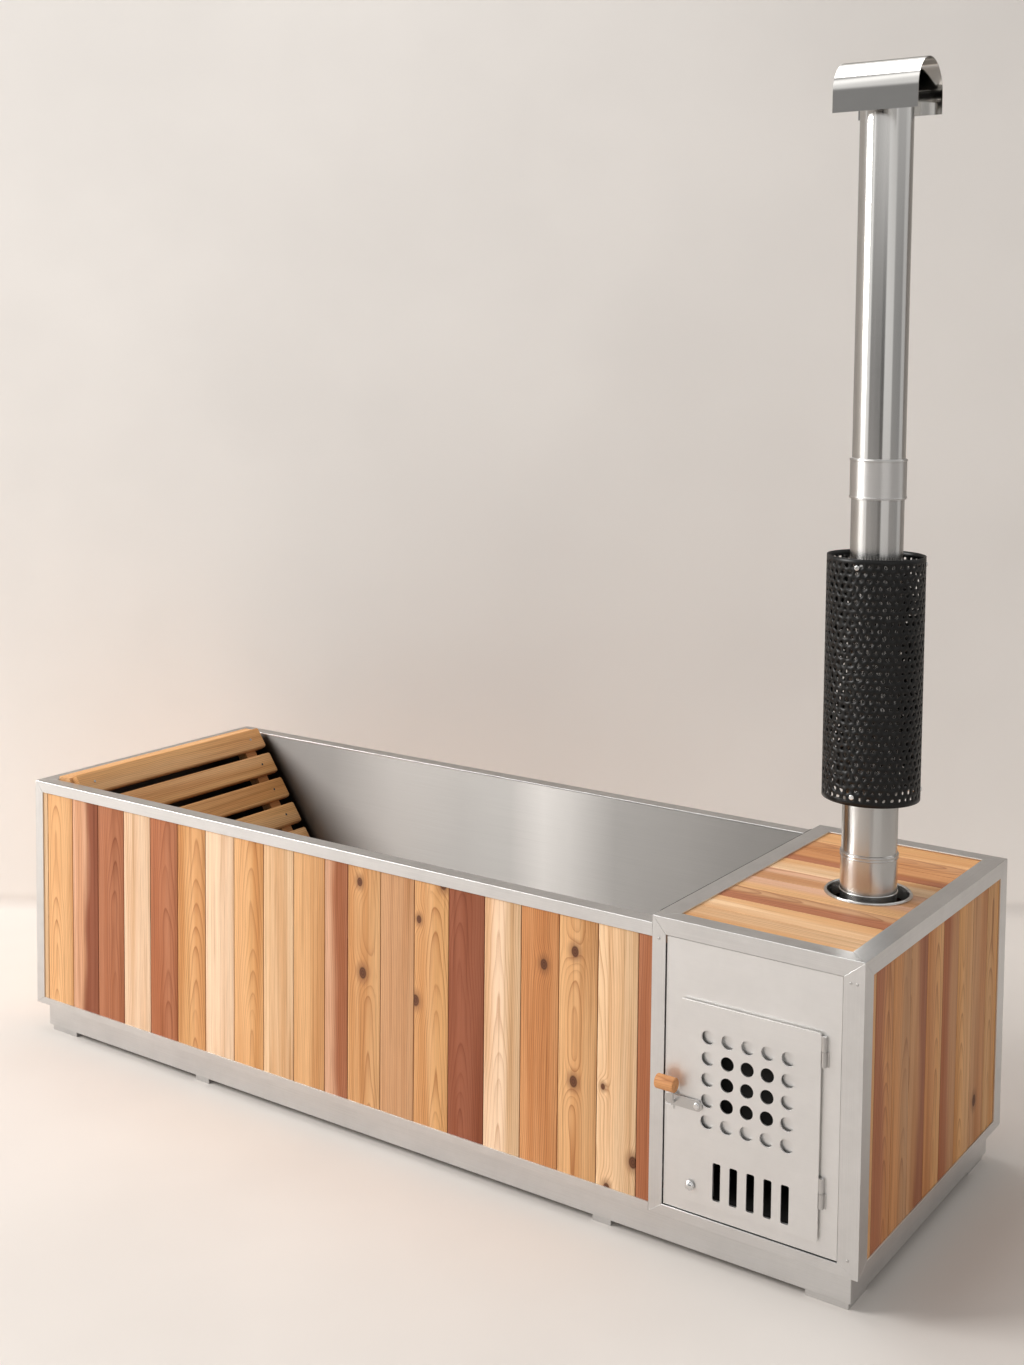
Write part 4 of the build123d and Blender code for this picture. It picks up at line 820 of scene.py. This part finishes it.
class HOTTUB_OT_boards(bpy.types.Operator):
    """Upright boards on the front, back and ends, each cut from its own log"""

    bl_idname = "hot_tub.boards"
    bl_label = "Upright boards"

    def execute(self, context):
        """Rows of boards between the corners, laid from the head end and ripped to fit."""
        seed = context.scene.hot_tub_timber.seed
        cover, thick = BOARD_COVER, BOARD_THICK
        low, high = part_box("front_boards")
        widths = [FIRST_BOARD] + [cover] * BEFORE_RIPPED + [RIPPED_BOARD] + [cover] * 20
        edges = edges_between(low.x, high.x, widths)
        board_row("front_cladding", "front_boards", edges, (1, 0, 0), (0, 1, 0), (0, 0, 1), FRONT_BOARDS,
                  seed, thick)
        board_row("back_cladding", "back_boards", edges, (1, 0, 0), (0, -1, 0), (0, 0, 1),
                  FRONT_BOARDS[::-1], seed + 1, thick)
        for node, inwards, picks in (("head_boards", (1, 0, 0), FRONT_BOARDS[5:]),
                                     ("stove_end_boards", (-1, 0, 0), END_BOARDS)):
            low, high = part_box(node)
            edges = edges_between(low.y, high.y, even_widths(high.y - low.y, cover, CORNER_BOARD))
            board_row(node.replace("boards", "cladding"), node, edges, (0, 1, 0), inwards, (0, 0, 1), picks,
                      seed + 2, thick)
        low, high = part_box("stove_back_boards")
        edges = edges_between(low.x, high.x, even_widths(high.x - low.x, cover))
        board_row("stove_back_cladding", "stove_back_boards", edges, (1, 0, 0), (0, -1, 0), (0, 0, 1),
                  END_BOARDS, seed + 3, thick)
        return {"FINISHED"}


class HOTTUB_OT_deck(bpy.types.Operator):
    """Deck boards over the stove, cut round the flue"""

    bl_idname = "hot_tub.deck"
    bl_label = "Deck boards"

    def execute(self, context):
        """The CAD boards themselves, each point with its place on the board that it belongs to."""
        low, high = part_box("deck_boards")
        cover = (TUB_WIDTH - 2 * DECK_RAIL) / DECK_ACROSS
        first = UNDER_RAIL + cover
        edges = edges_between(low.y, high.y, [first] + [cover] * 20)
        mesh = merged_copy("deck_boards")
        mesh.name = "deck_planks"
        points = np.empty(len(mesh.vertices) * 3, np.float32)
        mesh.vertices.foreach_get("co", points)
        points = points.reshape(-1, 3)
        starts = np.array([edge[0] for edge in edges]) - 0.0002
        board = np.clip(np.searchsorted(starts, points[:, 1], "right") - 1, 0, len(edges) - 1)
        middle = np.array([(a + b) / 2 for a, b in edges])[board]
        place = np.stack([points[:, 1] - middle, high.z - points[:, 2], points[:, 0]], -1)
        values = {key: array[board] for key, array in board_values(
            len(edges), DECK_BOARDS, context.scene.hot_tub_timber.seed + 5).items()}
        values["board_place"] = place
        faces = [tuple(p.vertices) for p in mesh.polygons]
        piece = add_piece("deck_planks", points, faces, finish_of("boards"), TUB,
                          ("deck_boards",), 40.0, values)
        bevel = piece.modifiers.new("edges", "BEVEL")
        bevel.width = 0.0008
        bevel.segments = 2
        bevel.limit_method = "ANGLE"
        bevel.angle_limit = math.radians(30)
        return {"FINISHED"}


class HOTTUB_OT_bars(bpy.types.Operator):
    """Angle bars, plinth and plates with narrow rounded edges"""

    bl_idname = "hot_tub.bars"
    bl_label = "Bars and plates"

    def execute(self, context):
        """A copy of each bar and plate with its edges eased."""
        width = context.scene.hot_tub_steel.edge
        for node in EASED_BARS:
            edge = min(width, 0.2 * MM) if node == "tub_sills" else width
            eased_copy(node, f"{node}_bar", finish_of(NODE_FINISH[node]), edge)
        for node in EASED_PLATES:
            eased_copy(node, f"{node}_plate", finish_of(NODE_FINISH[node]), 0.7 * MM)
        self.open_seam(1.4 * MM)
        return {"FINISHED"}

    def open_seam(self, seam):
        """Draws the panel's outer edges in, so that a narrow seam stays between it and the bars."""
        mesh = bpy.data.objects["stove_front_panel_plate"].data
        low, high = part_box("stove_front_panel")
        points = np.empty(len(mesh.vertices) * 3, np.float32)
        mesh.vertices.foreach_get("co", points)
        points = points.reshape(-1, 3)
        inner_left, inner_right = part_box("stove_inner_posts")[1].x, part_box("stove_outer_posts")[0].x
        floor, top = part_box("stove_long_sills")[1].z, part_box("deck_long_rails")[0].z
        for axis, edge, wanted in ((0, low.x, inner_left + seam), (0, high.x, inner_right - seam),
                                   (2, low.z, floor + seam), (2, high.z, top - seam)):
            points[np.abs(points[:, axis] - edge) < 1 * MM, axis] = wanted
        mesh.vertices.foreach_set("co", points.ravel())
        mesh.update()


def bead(radius, height, size, steps=7):
    """Points of a rolled bead: a half round that stands out from a pipe's wall."""
    angle = np.linspace(-np.pi / 2, np.pi / 2, steps)
    return np.stack([radius + size * np.cos(angle), height + size * np.sin(angle)], -1)


def pipe_wall(outside, wall):
    """A loop of profile points: the outside from low to high, then the inside back down."""
    outside = np.asarray(outside, float)
    inside = outside[::-1].copy()
    inside[:, 0] -= wall
    return np.concatenate([outside, inside])


class HOTTUB_OT_flue(bpy.types.Operator):
    """Turned pipes of the flue, its coupling and the ring in the deck"""

    bl_idname = "hot_tub.flue"
    bl_label = "Flue pipes"

    def execute(self, context):
        """Each outside runs from low to high; rolled beads stand near the ends of band and socket."""
        low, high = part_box("flue_upper_pipe")
        centre = ((low.x + high.x) / 2, (low.y + high.y) / 2, 0.0)
        lip = 0.5 * MM
        top = [(PIPE_RADIUS, low.z), (PIPE_RADIUS, high.z - lip), (PIPE_RADIUS - 0.2 * MM, high.z)]
        self.turn("flue_top_length", "flue_upper_pipe", top, PIPE_WALL, centre)
        low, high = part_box("flue_middle_pipe")
        middle = [(PIPE_RADIUS, low.z), (PIPE_RADIUS, high.z)]
        self.turn("flue_mid_length", "flue_middle_pipe", middle, PIPE_WALL, centre)

        low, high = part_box("flue_coupling")
        rim = 1.5 * MM
        outside = np.concatenate([
            [(BAND_RADIUS - lip, low.z), (BAND_RADIUS, low.z + lip)],
            bead(BAND_RADIUS, low.z + 2 * rim, rim),
            [(BAND_RADIUS, low.z + 4 * rim), (BAND_RADIUS, high.z - 4 * rim)],
            bead(BAND_RADIUS, high.z - 2 * rim, rim),
            [(BAND_RADIUS, high.z - lip), (BAND_RADIUS - lip, high.z)]])
        self.turn("flue_band", "flue_coupling", outside, BAND_WALL, centre, "satin_band")

        low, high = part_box("flue_base_pipe")
        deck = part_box("deck_long_rails")[1].z
        top = deck + SOCKET_RISE
        outside = np.concatenate([
            [(SOCKET_RADIUS, low.z)], bead(SOCKET_RADIUS, deck + 4 * MM, rim),
            bead(SOCKET_RADIUS, top - 9 * MM, 0.8 * rim), bead(SOCKET_RADIUS, top - 2 * rim, rim),
            [(SOCKET_RADIUS, top), (SOCKET_RADIUS - 0.6 * MM, top + 0.6 * MM), (BASE_RADIUS, top + 1 * MM),
             (BASE_RADIUS, high.z - NECK_START), (NECK_RADIUS, high.z - NECK_END), (NECK_RADIUS, high.z)]])
        self.turn("flue_base_length", "flue_base_pipe", outside, PIPE_WALL, centre)

        low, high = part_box("deck_collar")
        inside = RING_BORE + 2 * MM
        under, over = deck - 2.7 * MM, deck - 1.4 * MM
        angle = np.linspace(0, np.pi, 9)
        lip_round = np.stack([RING_BORE + RING_LIP + RING_LIP * np.cos(angle),
                              high.z - 2.8 * MM + RING_LIP * np.sin(angle)], -1)
        ring = np.concatenate([[(inside, low.z), (inside, under), (RING_FLAT, under), (RING_FLAT, over)],
                               lip_round, [(RING_BORE, low.z)]])
        self.add("deck_ring", "deck_collar", ring, centre)
        return {"FINISHED"}

    def turn(self, name, node, outside, wall, centre, finish="polished"):
        """One pipe: its outside profile and its inside, turned round the flue's line."""
        self.add(name, node, pipe_wall(outside, wall), centre, finish)

    def add(self, name, node, loop, centre, finish="polished"):
        """A loop of profile points turned round the flue's line, in place of a CAD node."""
        sides = bpy.context.scene.hot_tub_flue.segments
        points, faces = joined([closed_turning(loop, centre, sides)])
        add_piece(name, points, faces, finish_of(finish), TUB, (node,), 40.0)


class HOTTUB_OT_guard(bpy.types.Operator):
    """The black guard: a rolled sheet cut through with uneven, leaf-like holes"""

    bl_idname = "hot_tub.guard"
    bl_label = "Heat guard"

    def execute(self, context):
        """Each cell of an uneven grid round the guard holds one hole.

        A cell's border runs between its four shared corners; its hole is the border drawn in
        towards the cell's middle, rounded, and the sheet is the ring between the two.
        """
        looks = context.scene.hot_tub_flue
        rows, columns = looks.rows, looks.columns
        low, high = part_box("heat_guard")
        centre = ((low.x + high.x) / 2, (low.y + high.y) / 2)
        radius = (high.x - low.x) / 2
        rim = 7 * MM
        random = np.random.default_rng(11)
        around = 2 * columns
        pitch = (high.z - low.z - 2 * rim) / rows
        line, post = np.meshgrid(np.arange(rows + 1), np.arange(around), indexing="ij")
        inner = (line > 0) & (line < rows)
        zigzag = np.where((line + post) % 2 == 0, 0.17, -0.17)
        u = post / 2 + random.uniform(-0.13, 0.13, line.shape)
        v = line + np.where(inner, zigzag + random.uniform(-0.14, 0.14, line.shape), 0.0)
        knots = np.stack([u, v], -1)
        row = np.arange(rows)[:, None]
        first = 2 * np.arange(columns)[None, :] + row % 2
        route = ((0, 0), (0, 1), (0, 2), (1, 2), (1, 1), (1, 0))
        corners = []
        for rise, step in route:
            at = first + step
            spot = knots[row + rise, at % around].copy()
            spot[..., 0] += (at // around) * columns
            corners.append(spot)
        part = 3
        share = np.linspace(0, 1, part, endpoint=False)[:, None, None, None]
        turned_on = corners[1:] + corners[:1]
        border = np.concatenate([(1 - share) * p + share * q for p, q in zip(corners, turned_on)])
        middle = border.mean(0)
        scale = np.array([2 * np.pi * radius / columns, pitch])
        reach = (border - middle) * scale
        length = np.linalg.norm(reach, axis=-1, keepdims=True)
        rounded = reach * (0.35 + 0.65 * length.mean(0) / length)
        shape = (1, rows, columns, 1)
        size = random.uniform(0.62, 1.12, shape) * looks.open_share
        tilt = random.uniform(0, np.pi, shape[1:3])
        squash = random.uniform(0.55, 0.95, shape[1:3])
        along = np.stack([np.cos(tilt), np.sin(tilt)], -1)
        beside = np.stack([-np.sin(tilt), np.cos(tilt)], -1)
        long_part = (rounded * along).sum(-1, keepdims=True) * along
        short_part = (rounded * beside).sum(-1, keepdims=True) * beside
        lobes = random.integers(2, 4, shape)
        phase = random.uniform(0, 2 * np.pi, shape)
        turn = np.arctan2(reach[..., 1:], reach[..., :1])
        wave = 1 + 0.14 * np.sin(lobes * turn + phase)
        hole = middle + (long_part + short_part * squash[..., None]) * size * wave / scale
        rings = np.stack([border, hole])

        def on_guard(place):
            """A place on the flat sheet, in cells, rolled round the flue."""
            angle = place[..., 0] / columns * 2 * np.pi
            height = low.z + rim + place[..., 1] * pitch
            east, north = centre[0] + radius * np.cos(angle), centre[1] + radius * np.sin(angle)
            return np.stack([east, north, height], -1)

        count = border.shape[0]
        points = on_guard(rings).transpose(2, 3, 0, 1, 4).reshape(-1, 3)
        cell = grid_quads(2, count, False, True)
        starts = np.arange(rows * columns)[:, None, None] * 2 * count
        faces = (cell[None] + starts).reshape(-1, 4)

        verts, all_faces, start = [points], [faces], len(points)
        steps = np.linspace(0, 1, part, endpoint=False)
        for level, edge in ((0, low.z), (rows, high.z)):
            run = knots[level, :, 0]
            following = np.append(run[1:], run[0] + columns)
            fine = (run[:, None] * (1 - steps) + following[:, None] * steps).ravel()
            inside = on_guard(np.stack([fine, np.full(len(fine), float(level))], -1))
            outside = inside.copy()
            outside[:, 2] = edge
            pair = (outside, inside) if level == 0 else (inside, outside)
            strip = np.stack(pair)
            verts.append(strip.reshape(-1, 3))
            all_faces.append(grid_quads(2, strip.shape[1], False, True) + start)
            start += strip.shape[1] * 2
        mesh = bpy.data.meshes.new("guard_sheet")
        mesh.from_pydata(np.concatenate(verts).tolist(), [], np.concatenate(all_faces).tolist())
        work = bmesh.new()
        work.from_mesh(mesh)
        bmesh.ops.remove_doubles(work, verts=work.verts, dist=1e-5)
        work.to_mesh(mesh)
        work.free()
        mesh.polygons.foreach_set("use_smooth", np.ones(len(mesh.polygons), bool))
        piece = bpy.data.objects.new("guard_sheet", mesh)
        context.scene.collection.objects.link(piece)
        mesh.materials.append(finish_of("guard"))
        wall = piece.modifiers.new("wall", "SOLIDIFY")
        wall.thickness = 1.8 * MM
        wall.offset = -1.0
        wall.use_quality_normals = True
        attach(piece, TUB)
        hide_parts("heat_guard")
        return {"FINISHED"}


class HOTTUB_OT_cap(bpy.types.Operator):
    """The rain cap: one polished sheet bent over"""

    bl_idname = "hot_tub.cap"
    bl_label = "Rain cap"

    def execute(self, context):
        """A bent line of skirt, half round and skirt, carried along X, with both walls."""
        low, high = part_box("rain_cap")
        half = (high.y - low.y) / 2
        middle = (high.y + low.y) / 2
        spring = high.z - half
        sheet = 1.5 * MM
        angle = np.linspace(0, np.pi, 49)
        skirt = np.linspace(low.z, spring, 6)[:-1]
        arch = np.stack([middle - half * np.cos(angle), spring + half * np.sin(angle)], -1)
        outer = np.concatenate([np.stack([np.full(5, middle - half), skirt], -1), arch,
                                np.stack([np.full(5, middle + half), skirt[::-1]], -1)])
        core = np.array([middle, spring])
        away = outer - core
        away[:, 1] = np.maximum(away[:, 1], 0)
        away /= np.linalg.norm(away, axis=1, keepdims=True)
        loop = np.concatenate([outer, (outer - sheet * away)[::-1]])
        lengths = np.linspace(low.x, high.x, 9)
        section = np.stack([np.zeros(len(loop)), loop[:, 0], loop[:, 1]], -1)
        path = np.zeros((len(lengths), 1, 3))
        path[:, 0, 0] = lengths
        verts, faces = joined([carried(np.stack([section] * len(lengths)), path)])
        add_piece("cap_sheet", verts, faces, finish_of("cap"), TUB, ("rain_cap",), 40.0)
        return {"FINISHED"}


class HOTTUB_OT_backrest(bpy.types.Operator):
    """Planed slats of the backrest, rounded on their faces"""

    bl_idname = "hot_tub.backrest"
    bl_label = "Backrest slats"

    def execute(self, context):
        """Each slat is a rounded outline carried level from side to side, laid on the slope."""
        low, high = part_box("backrest_slats")
        lean = math.radians(35)
        width, pitch, thick, count = 55 * MM, 72 * MM, 18 * MM, 8
        back = np.array([low.x, high.z - thick * math.sin(lean)])
        up = np.array([-math.sin(lean), math.cos(lean)])
        face = np.array([math.cos(lean), math.sin(lean)])
        corner = 5 * MM
        angle = np.linspace(0, np.pi / 2, 6)
        low_round = np.stack([corner - corner * np.cos(angle), thick - corner + corner * np.sin(angle)], -1)
        high_round = np.stack([width - corner + corner * np.sin(angle),
                               thick - corner + corner * np.cos(angle)], -1)
        outline = np.concatenate([[(0.0, 1 * MM)], low_round, high_round,
                                  [(width, 1 * MM), (width - 1 * MM, 0.0), (1 * MM, 0.0)]])
        ends = np.array([low.y, low.y + 1.5 * MM, high.y - 1.5 * MM, high.y])
        shrink = np.array([0.97, 1.0, 1.0, 0.97])
        parts, places = [], []
        middle = np.array([width / 2, thick / 2])
        for i in range(count):
            base = -i * pitch - width
            sections = []
            for y, s in zip(ends, shrink):
                flat = (outline - middle) * s + middle
                xz = back + (base + flat[:, :1]) * up + flat[:, 1:] * face
                sections.append(np.stack([xz[:, 0], np.full(len(flat), y), xz[:, 1]], -1))
            parts.append(carried(np.stack(sections), np.zeros((len(ends), 1, 3))))
            heights = np.repeat(ends, len(outline))
            local = np.c_[outline[:, 0] - middle[0], (thick - outline[:, 1]) * 0.05]
            places.append(np.c_[np.tile(local, (len(ends), 1)), heights])
        verts, faces = joined(parts)
        each = len(verts) // count
        picks = (("honey", "gold", "rift", 0.0), ("gold", "honey", "rift", 0.0),
                 ("gold", "gold", "quarter", 0.0))
        values = {key: np.repeat(array, each, 0) for key, array in board_values(count, picks, 21).items()}
        values["board_place"] = np.concatenate(places)
        add_piece("backrest_planks", verts, faces, finish_of("boards"), "backrest",
                  ("backrest_slats",), 50.0, values)
        return {"FINISHED"}


class HOTTUB_OT_grip(bpy.types.Operator):
    """The turned wood grip and the door's domed stud"""

    bl_idname = "hot_tub.grip"
    bl_label = "Grip and stud"

    def execute(self, context):
        """Both are profiles turned about Z and then laid along X or pointed at the front."""
        low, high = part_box("latch_grip")
        radius = (high.y - low.y) / 2
        length = high.x - low.x
        angle = np.linspace(0, np.pi / 2, 7)
        ease = 2.2 * MM
        end = np.stack([radius - ease + ease * np.sin(angle), ease - ease * np.cos(angle)], -1)
        other = np.stack([end[::-1, 0], length - end[::-1, 1]], -1)
        profile = np.concatenate([[(0.0, 0.0)], end, other, [(0.0, length)]])
        lying = self.solid(profile, 64)
        centre = ((low.y + high.y) / 2, (low.z + high.z) / 2)
        points = np.stack([low.x + lying[0][:, 2], centre[0] + lying[0][:, 0],
                           centre[1] + lying[0][:, 1]], -1)
        verts, faces = joined([(points, lying[1])])
        add_piece("turned_grip", verts, faces, finish_of("grip"), "latch",
                  ("latch_grip",), 40.0)

        low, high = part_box("door_stud")
        centre = ((low.x + high.x) / 2, (low.z + high.z) / 2)
        radius = (high.x - low.x) / 2
        depth = high.y - low.y
        neck = 2.5 * MM
        angle = np.linspace(0, np.pi / 2, 12)
        dome = np.stack([radius * np.cos(angle), neck + (depth - neck) * np.sin(angle)], -1)
        profile = np.concatenate([[(0.0, 0.0), (radius * 0.55, 0.0), (radius * 0.55, neck)], dome[:-1],
                                  [(0.0, depth)]])
        upright = self.solid(profile, 48)
        points = np.stack([centre[0] + upright[0][:, 0], high.y - upright[0][:, 2],
                           centre[1] + upright[0][:, 1]], -1)
        verts, faces = joined([(points, upright[1])])
        add_piece("domed_stud", verts, faces, finish_of("bright"), "fire_door",
                  ("door_stud",), 40.0)
        return {"FINISHED"}

    def solid(self, profile, sides):
        """A turned solid whose first and last profile points are its two poles."""
        points = turned(profile[1:-1], (0, 0, 0), sides).reshape(-1, 3)
        rows = len(profile) - 2
        quads = [tuple(q) for q in grid_quads(rows, sides, False, True).tolist()]
        first, last = len(points), len(points) + 1
        points = np.concatenate([points, [[0, 0, profile[0][1]], [0, 0, profile[-1][1]]]])
        fans = [(first, (j + 1) % sides, j) for j in range(sides)]
        top = (rows - 1) * sides
        fans += [(last, top + j, top + (j + 1) % sides) for j in range(sides)]
        return points, quads + fans


class HOTTUB_OT_finishes(bpy.types.Operator):
    """Finishes of the pieces that keep their CAD shape"""

    bl_idname = "hot_tub.finishes"
    bl_label = "Other finishes"

    def execute(self, context):
        """Sets each CAD node's material and leaves its mesh alone."""
        for name, node in frame["nodes"].items():
            if name not in NODE_FINISH:
                raise RuntimeError(f"no finish for {name}")
            node.data.materials.clear()
            node.data.materials.append(finish_of(NODE_FINISH[name]))
        return {"FINISHED"}


class HOTTUB_OT_stage(bpy.types.Operator):
    """Floor, wall, lights and camera"""

    bl_idname = "hot_tub.stage"
    bl_label = "Stage"

    def execute(self, context):
        """The backdrop is one line, floor, small cove and wall, carried sideways."""
        scene = context.scene
        looks = scene.hot_tub_stage
        yaw, pitch, roll = (math.radians(a) for a in (35.44, 3.916, 0.4697))
        eye = np.array([2.0792, -2.9559, 1.6193])
        ahead = np.array([-math.sin(yaw) * math.cos(pitch), math.cos(yaw) * math.cos(pitch),
                          -math.sin(pitch)])
        right = np.array([math.cos(yaw), math.sin(yaw), 0.0])
        up = np.cross(right, ahead)
        right_rolled = right * math.cos(roll) + up * math.sin(roll)
        up_rolled = up * math.cos(roll) - right * math.sin(roll)
        camera = bpy.data.objects.new("camera", bpy.data.cameras.new("camera"))
        scene.collection.objects.link(camera)
        turn = Matrix.Identity(4)
        for i in range(3):
            turn[i][0], turn[i][1], turn[i][2] = right_rolled[i], up_rolled[i], -ahead[i]
            turn[i][3] = eye[i]
        camera.matrix_world = turn
        camera.data.lens = 44.925
        camera.data.sensor_width = 36.0
        camera.data.sensor_fit = "AUTO"
        camera.data.shift_x = 0.030
        camera.data.shift_y = -0.1601
        camera.data.clip_end = 100.0
        scene.camera = camera

        forward = np.array([-math.sin(yaw), math.cos(yaw), 0.0])
        wall_at = 4.81
        cove = 0.03
        angle = np.linspace(0, np.pi / 2, 12)
        bend = np.stack([wall_at - cove + cove * np.sin(angle), cove - cove * np.cos(angle)], -1)
        line = np.concatenate([[(-6.0, 0.0)], bend, [(wall_at, 3.4)]])
        sideways = np.array([-9.0, 9.0])
        base = np.array([eye[0], eye[1], 0.0])
        points = (base + line[:, None, :1] * forward + sideways[None, :, None] * right
                  + line[:, None, 1:] * np.array([0, 0, 1.0]))
        quads = grid_quads(len(line), 2)
        mesh = bpy.data.meshes.new("backdrop")
        mesh.from_pydata(points.reshape(-1, 3).tolist(), [], quads.tolist())
        mesh.polygons.foreach_set("use_smooth", np.ones(len(mesh.polygons), bool))
        backdrop = bpy.data.objects.new("backdrop", mesh)
        scene.collection.objects.link(backdrop)
        mesh.materials.append(self.plaster(looks))

        self.lamp("key", (-5.4, -4.2, 4.4), (-0.2, -0.1, 0.4), 3.2, 3.2, looks.key, (1.0, 0.985, 0.965))
        self.lamp("top", (-0.6, 0.2, 4.6), (-0.2, 0.2, 0.0), 3.0, 2.0, 60.0, (1.0, 0.99, 0.975))
        self.room(looks)
        scene.view_settings.view_transform = "Standard"
        return {"FINISHED"}

    def room(self, looks):
        """A room all round: pale and dark parts by compass direction, brighter above eye level."""
        world = bpy.data.worlds.new("room")
        bpy.context.scene.world = world
        world.use_nodes = True
        tree = world.node_tree
        surround = tree.nodes["Background"]
        way = put(tree, "ShaderNodeTexCoord").outputs["Generated"]
        parts = put(tree, "ShaderNodeSeparateXYZ", None, i0=way).outputs
        compass = sums(tree, "ARCTAN2", parts[1], parts[0])
        turn = sums(tree, "MULTIPLY_ADD", compass, 1 / (2 * math.pi), 0.5)
        horizon = sums(tree, "MULTIPLY", ramp(tree, turn, ROOM), 0.75)
        overhead = sums(tree, "MULTIPLY", ramp(tree, turn, CEILING),
                        spread(tree, parts[2], 0.80, 0.97, 1.0, 0.4))
        value = put(tree, "ShaderNodeMix", {"data_type": "FLOAT"}, i0=spread(tree, parts[2], 0.22, 0.42),
                    i2=horizon, i3=overhead).outputs[0]
        tone = mixed(tree, value, (0.0, 0.0, 0.0, 1), (1.0, 0.985, 0.965, 1))
        soft = put(tree, "ShaderNodeLightPath").outputs["Is Diffuse Ray"]
        strength = put(tree, "ShaderNodeMix", {"data_type": "FLOAT"}, i0=soft, i2=looks.mirrored,
                       i3=looks.sky)
        seen = put(tree, "ShaderNodeLightPath").outputs["Is Camera Ray"]
        tree.links.new(mixed(tree, seen, tone, (0.62, 0.60, 0.58, 1)), surround.inputs[0])
        tree.links.new(strength.outputs[0], surround.inputs[1])

    def lamp(self, name, place, target, width, height, power, tint):
        """A large soft lamp at a place, facing a target."""
        data = bpy.data.lights.new(name, "AREA")
        data.shape = "RECTANGLE"
        data.size = width
        data.size_y = height
        data.energy = power
        data.color = tint
        lamp = bpy.data.objects.new(name, data)
        bpy.context.scene.collection.objects.link(lamp)
        away = np.array(place, float) - np.array(target, float)
        away /= np.linalg.norm(away)
        right = np.cross((0.0, 0.0, 1.0), away)
        right /= max(np.linalg.norm(right), 1e-6)
        up = np.cross(away, right)
        turn = Matrix.Identity(4)
        for i in range(3):
            turn[i][0], turn[i][1], turn[i][2], turn[i][3] = right[i], up[i], away[i], place[i]
        lamp.matrix_world = turn

    def plaster(self, looks):
        """Pale plaster: the wall's colour above, the floor's below, clear from behind; painted light on the
        wall and a painted darker reflection in glossy rays.
        """
        material, tree, shader = plain_material("plaster")
        place = put(tree, "ShaderNodeTexCoord").outputs["Object"]
        height = put(tree, "ShaderNodeSeparateXYZ", None, i0=place).outputs[2]
        share = spread(tree, height, 0.005, 0.05)
        # Painted light: the wall's colour is brightened, more towards the right of the view, and less above
        # 1.5 m
        aside = put(tree, "ShaderNodeVectorMath", {"operation": "DOT_PRODUCT"}, i0=place,
                    i1=(0.815, 0.580, 0.0)).outputs["Value"]
        painted_wall_light = spread(tree, aside, -2.2, 1.6, 1.10, 1.24, smooth=False)
        painted_wall_light = sums(tree, "MULTIPLY", painted_wall_light, spread(tree, height, 1.5, 3.0, 1.0, 0.88))
        wall = mixed(tree, 1.0, (*looks.wall, 1), grey(tree, painted_wall_light), "MULTIPLY")
        colour = mixed(tree, share, (*looks.floor, 1), wall)
        cloud = noise(tree, place, 1.3, 3.0, 0.55)
        light = spread(tree, cloud, 0.25, 0.75, 0.965, 1.035)
        colour = mixed(tree, 1.0, colour, grey(tree, light), "MULTIPLY")
        # Painted reflection: where glossy rays see it, the floor is painted darker and the wall darker still
        glossy = put(tree, "ShaderNodeLightPath").outputs["Is Glossy Ray"]
        reflection_dimming = mixed(tree, share, (0.84, 0.84, 0.84, 1), (0.55, 0.54, 0.53, 1))
        shade = mixed(tree, 1.0, colour, reflection_dimming, "MULTIPLY")
        colour = mixed(tree, glossy, colour, shade)
        tree.links.new(colour, shader.inputs["Base Color"])
        shader.inputs["Roughness"].default_value = 0.85
        shader.inputs["Specular IOR Level"].default_value = 0.15
        clear = tree.nodes.new("ShaderNodeBsdfTransparent")
        behind = put(tree, "ShaderNodeNewGeometry").outputs["Backfacing"]
        mix = put(tree, "ShaderNodeMixShader", None, i0=behind, i1=shader.outputs[0], i2=clear.outputs[0])
        end = [n for n in tree.nodes if n.type == "OUTPUT_MATERIAL"][0]
        tree.links.new(mix.outputs[0], end.inputs["Surface"])
        return material


class HOTTUB_PT_panel(bpy.types.Panel):
    """Lists the hot tub's steps and settings"""

    bl_idname = "HOTTUB_PT_panel"
    bl_label = "Hot tub"
    bl_space_type = "VIEW_3D"
    bl_region_type = "UI"
    bl_category = "Hot tub"

    def draw(self, context):
        """A button for each step, then the settings."""
        column = self.layout.column()
        for step in STEPS:
            column.operator(f"hot_tub.{step}")
        for settings in (context.scene.hot_tub_timber, context.scene.hot_tub_steel,
                         context.scene.hot_tub_flue, context.scene.hot_tub_stage):
            for name in settings.__annotations__:
                column.prop(settings, name)


STEPS = ("finishes", "boards", "deck", "bars", "flue", "guard", "cap", "backrest", "grip", "stage")
SETTINGS = {"hot_tub_timber": TimberLooks, "hot_tub_steel": SteelLooks, "hot_tub_flue": FlueLooks,
            "hot_tub_stage": StageLooks}
OPERATORS = (HOTTUB_OT_finishes, HOTTUB_OT_boards, HOTTUB_OT_deck, HOTTUB_OT_bars, HOTTUB_OT_flue,
             HOTTUB_OT_guard, HOTTUB_OT_cap, HOTTUB_OT_backrest, HOTTUB_OT_grip, HOTTUB_OT_stage)


def register():
    """Registers the settings, the steps and the panel."""
    for name, kind in SETTINGS.items():
        bpy.utils.register_class(kind)
        setattr(bpy.types.Scene, name, PointerProperty(type=kind))
    for kind in OPERATORS + (HOTTUB_PT_panel,):
        bpy.utils.register_class(kind)


def unregister():
    """Takes them out again."""
    for kind in (HOTTUB_PT_panel,) + OPERATORS[::-1]:
        bpy.utils.unregister_class(kind)
    for name, kind in SETTINGS.items():
        delattr(bpy.types.Scene, name)
        bpy.utils.unregister_class(kind)


def main():
    """Registers the add-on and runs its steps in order."""
    register()
    for step in STEPS:
        getattr(bpy.ops.hot_tub, step)()


if __name__ == "__main__":
    main()
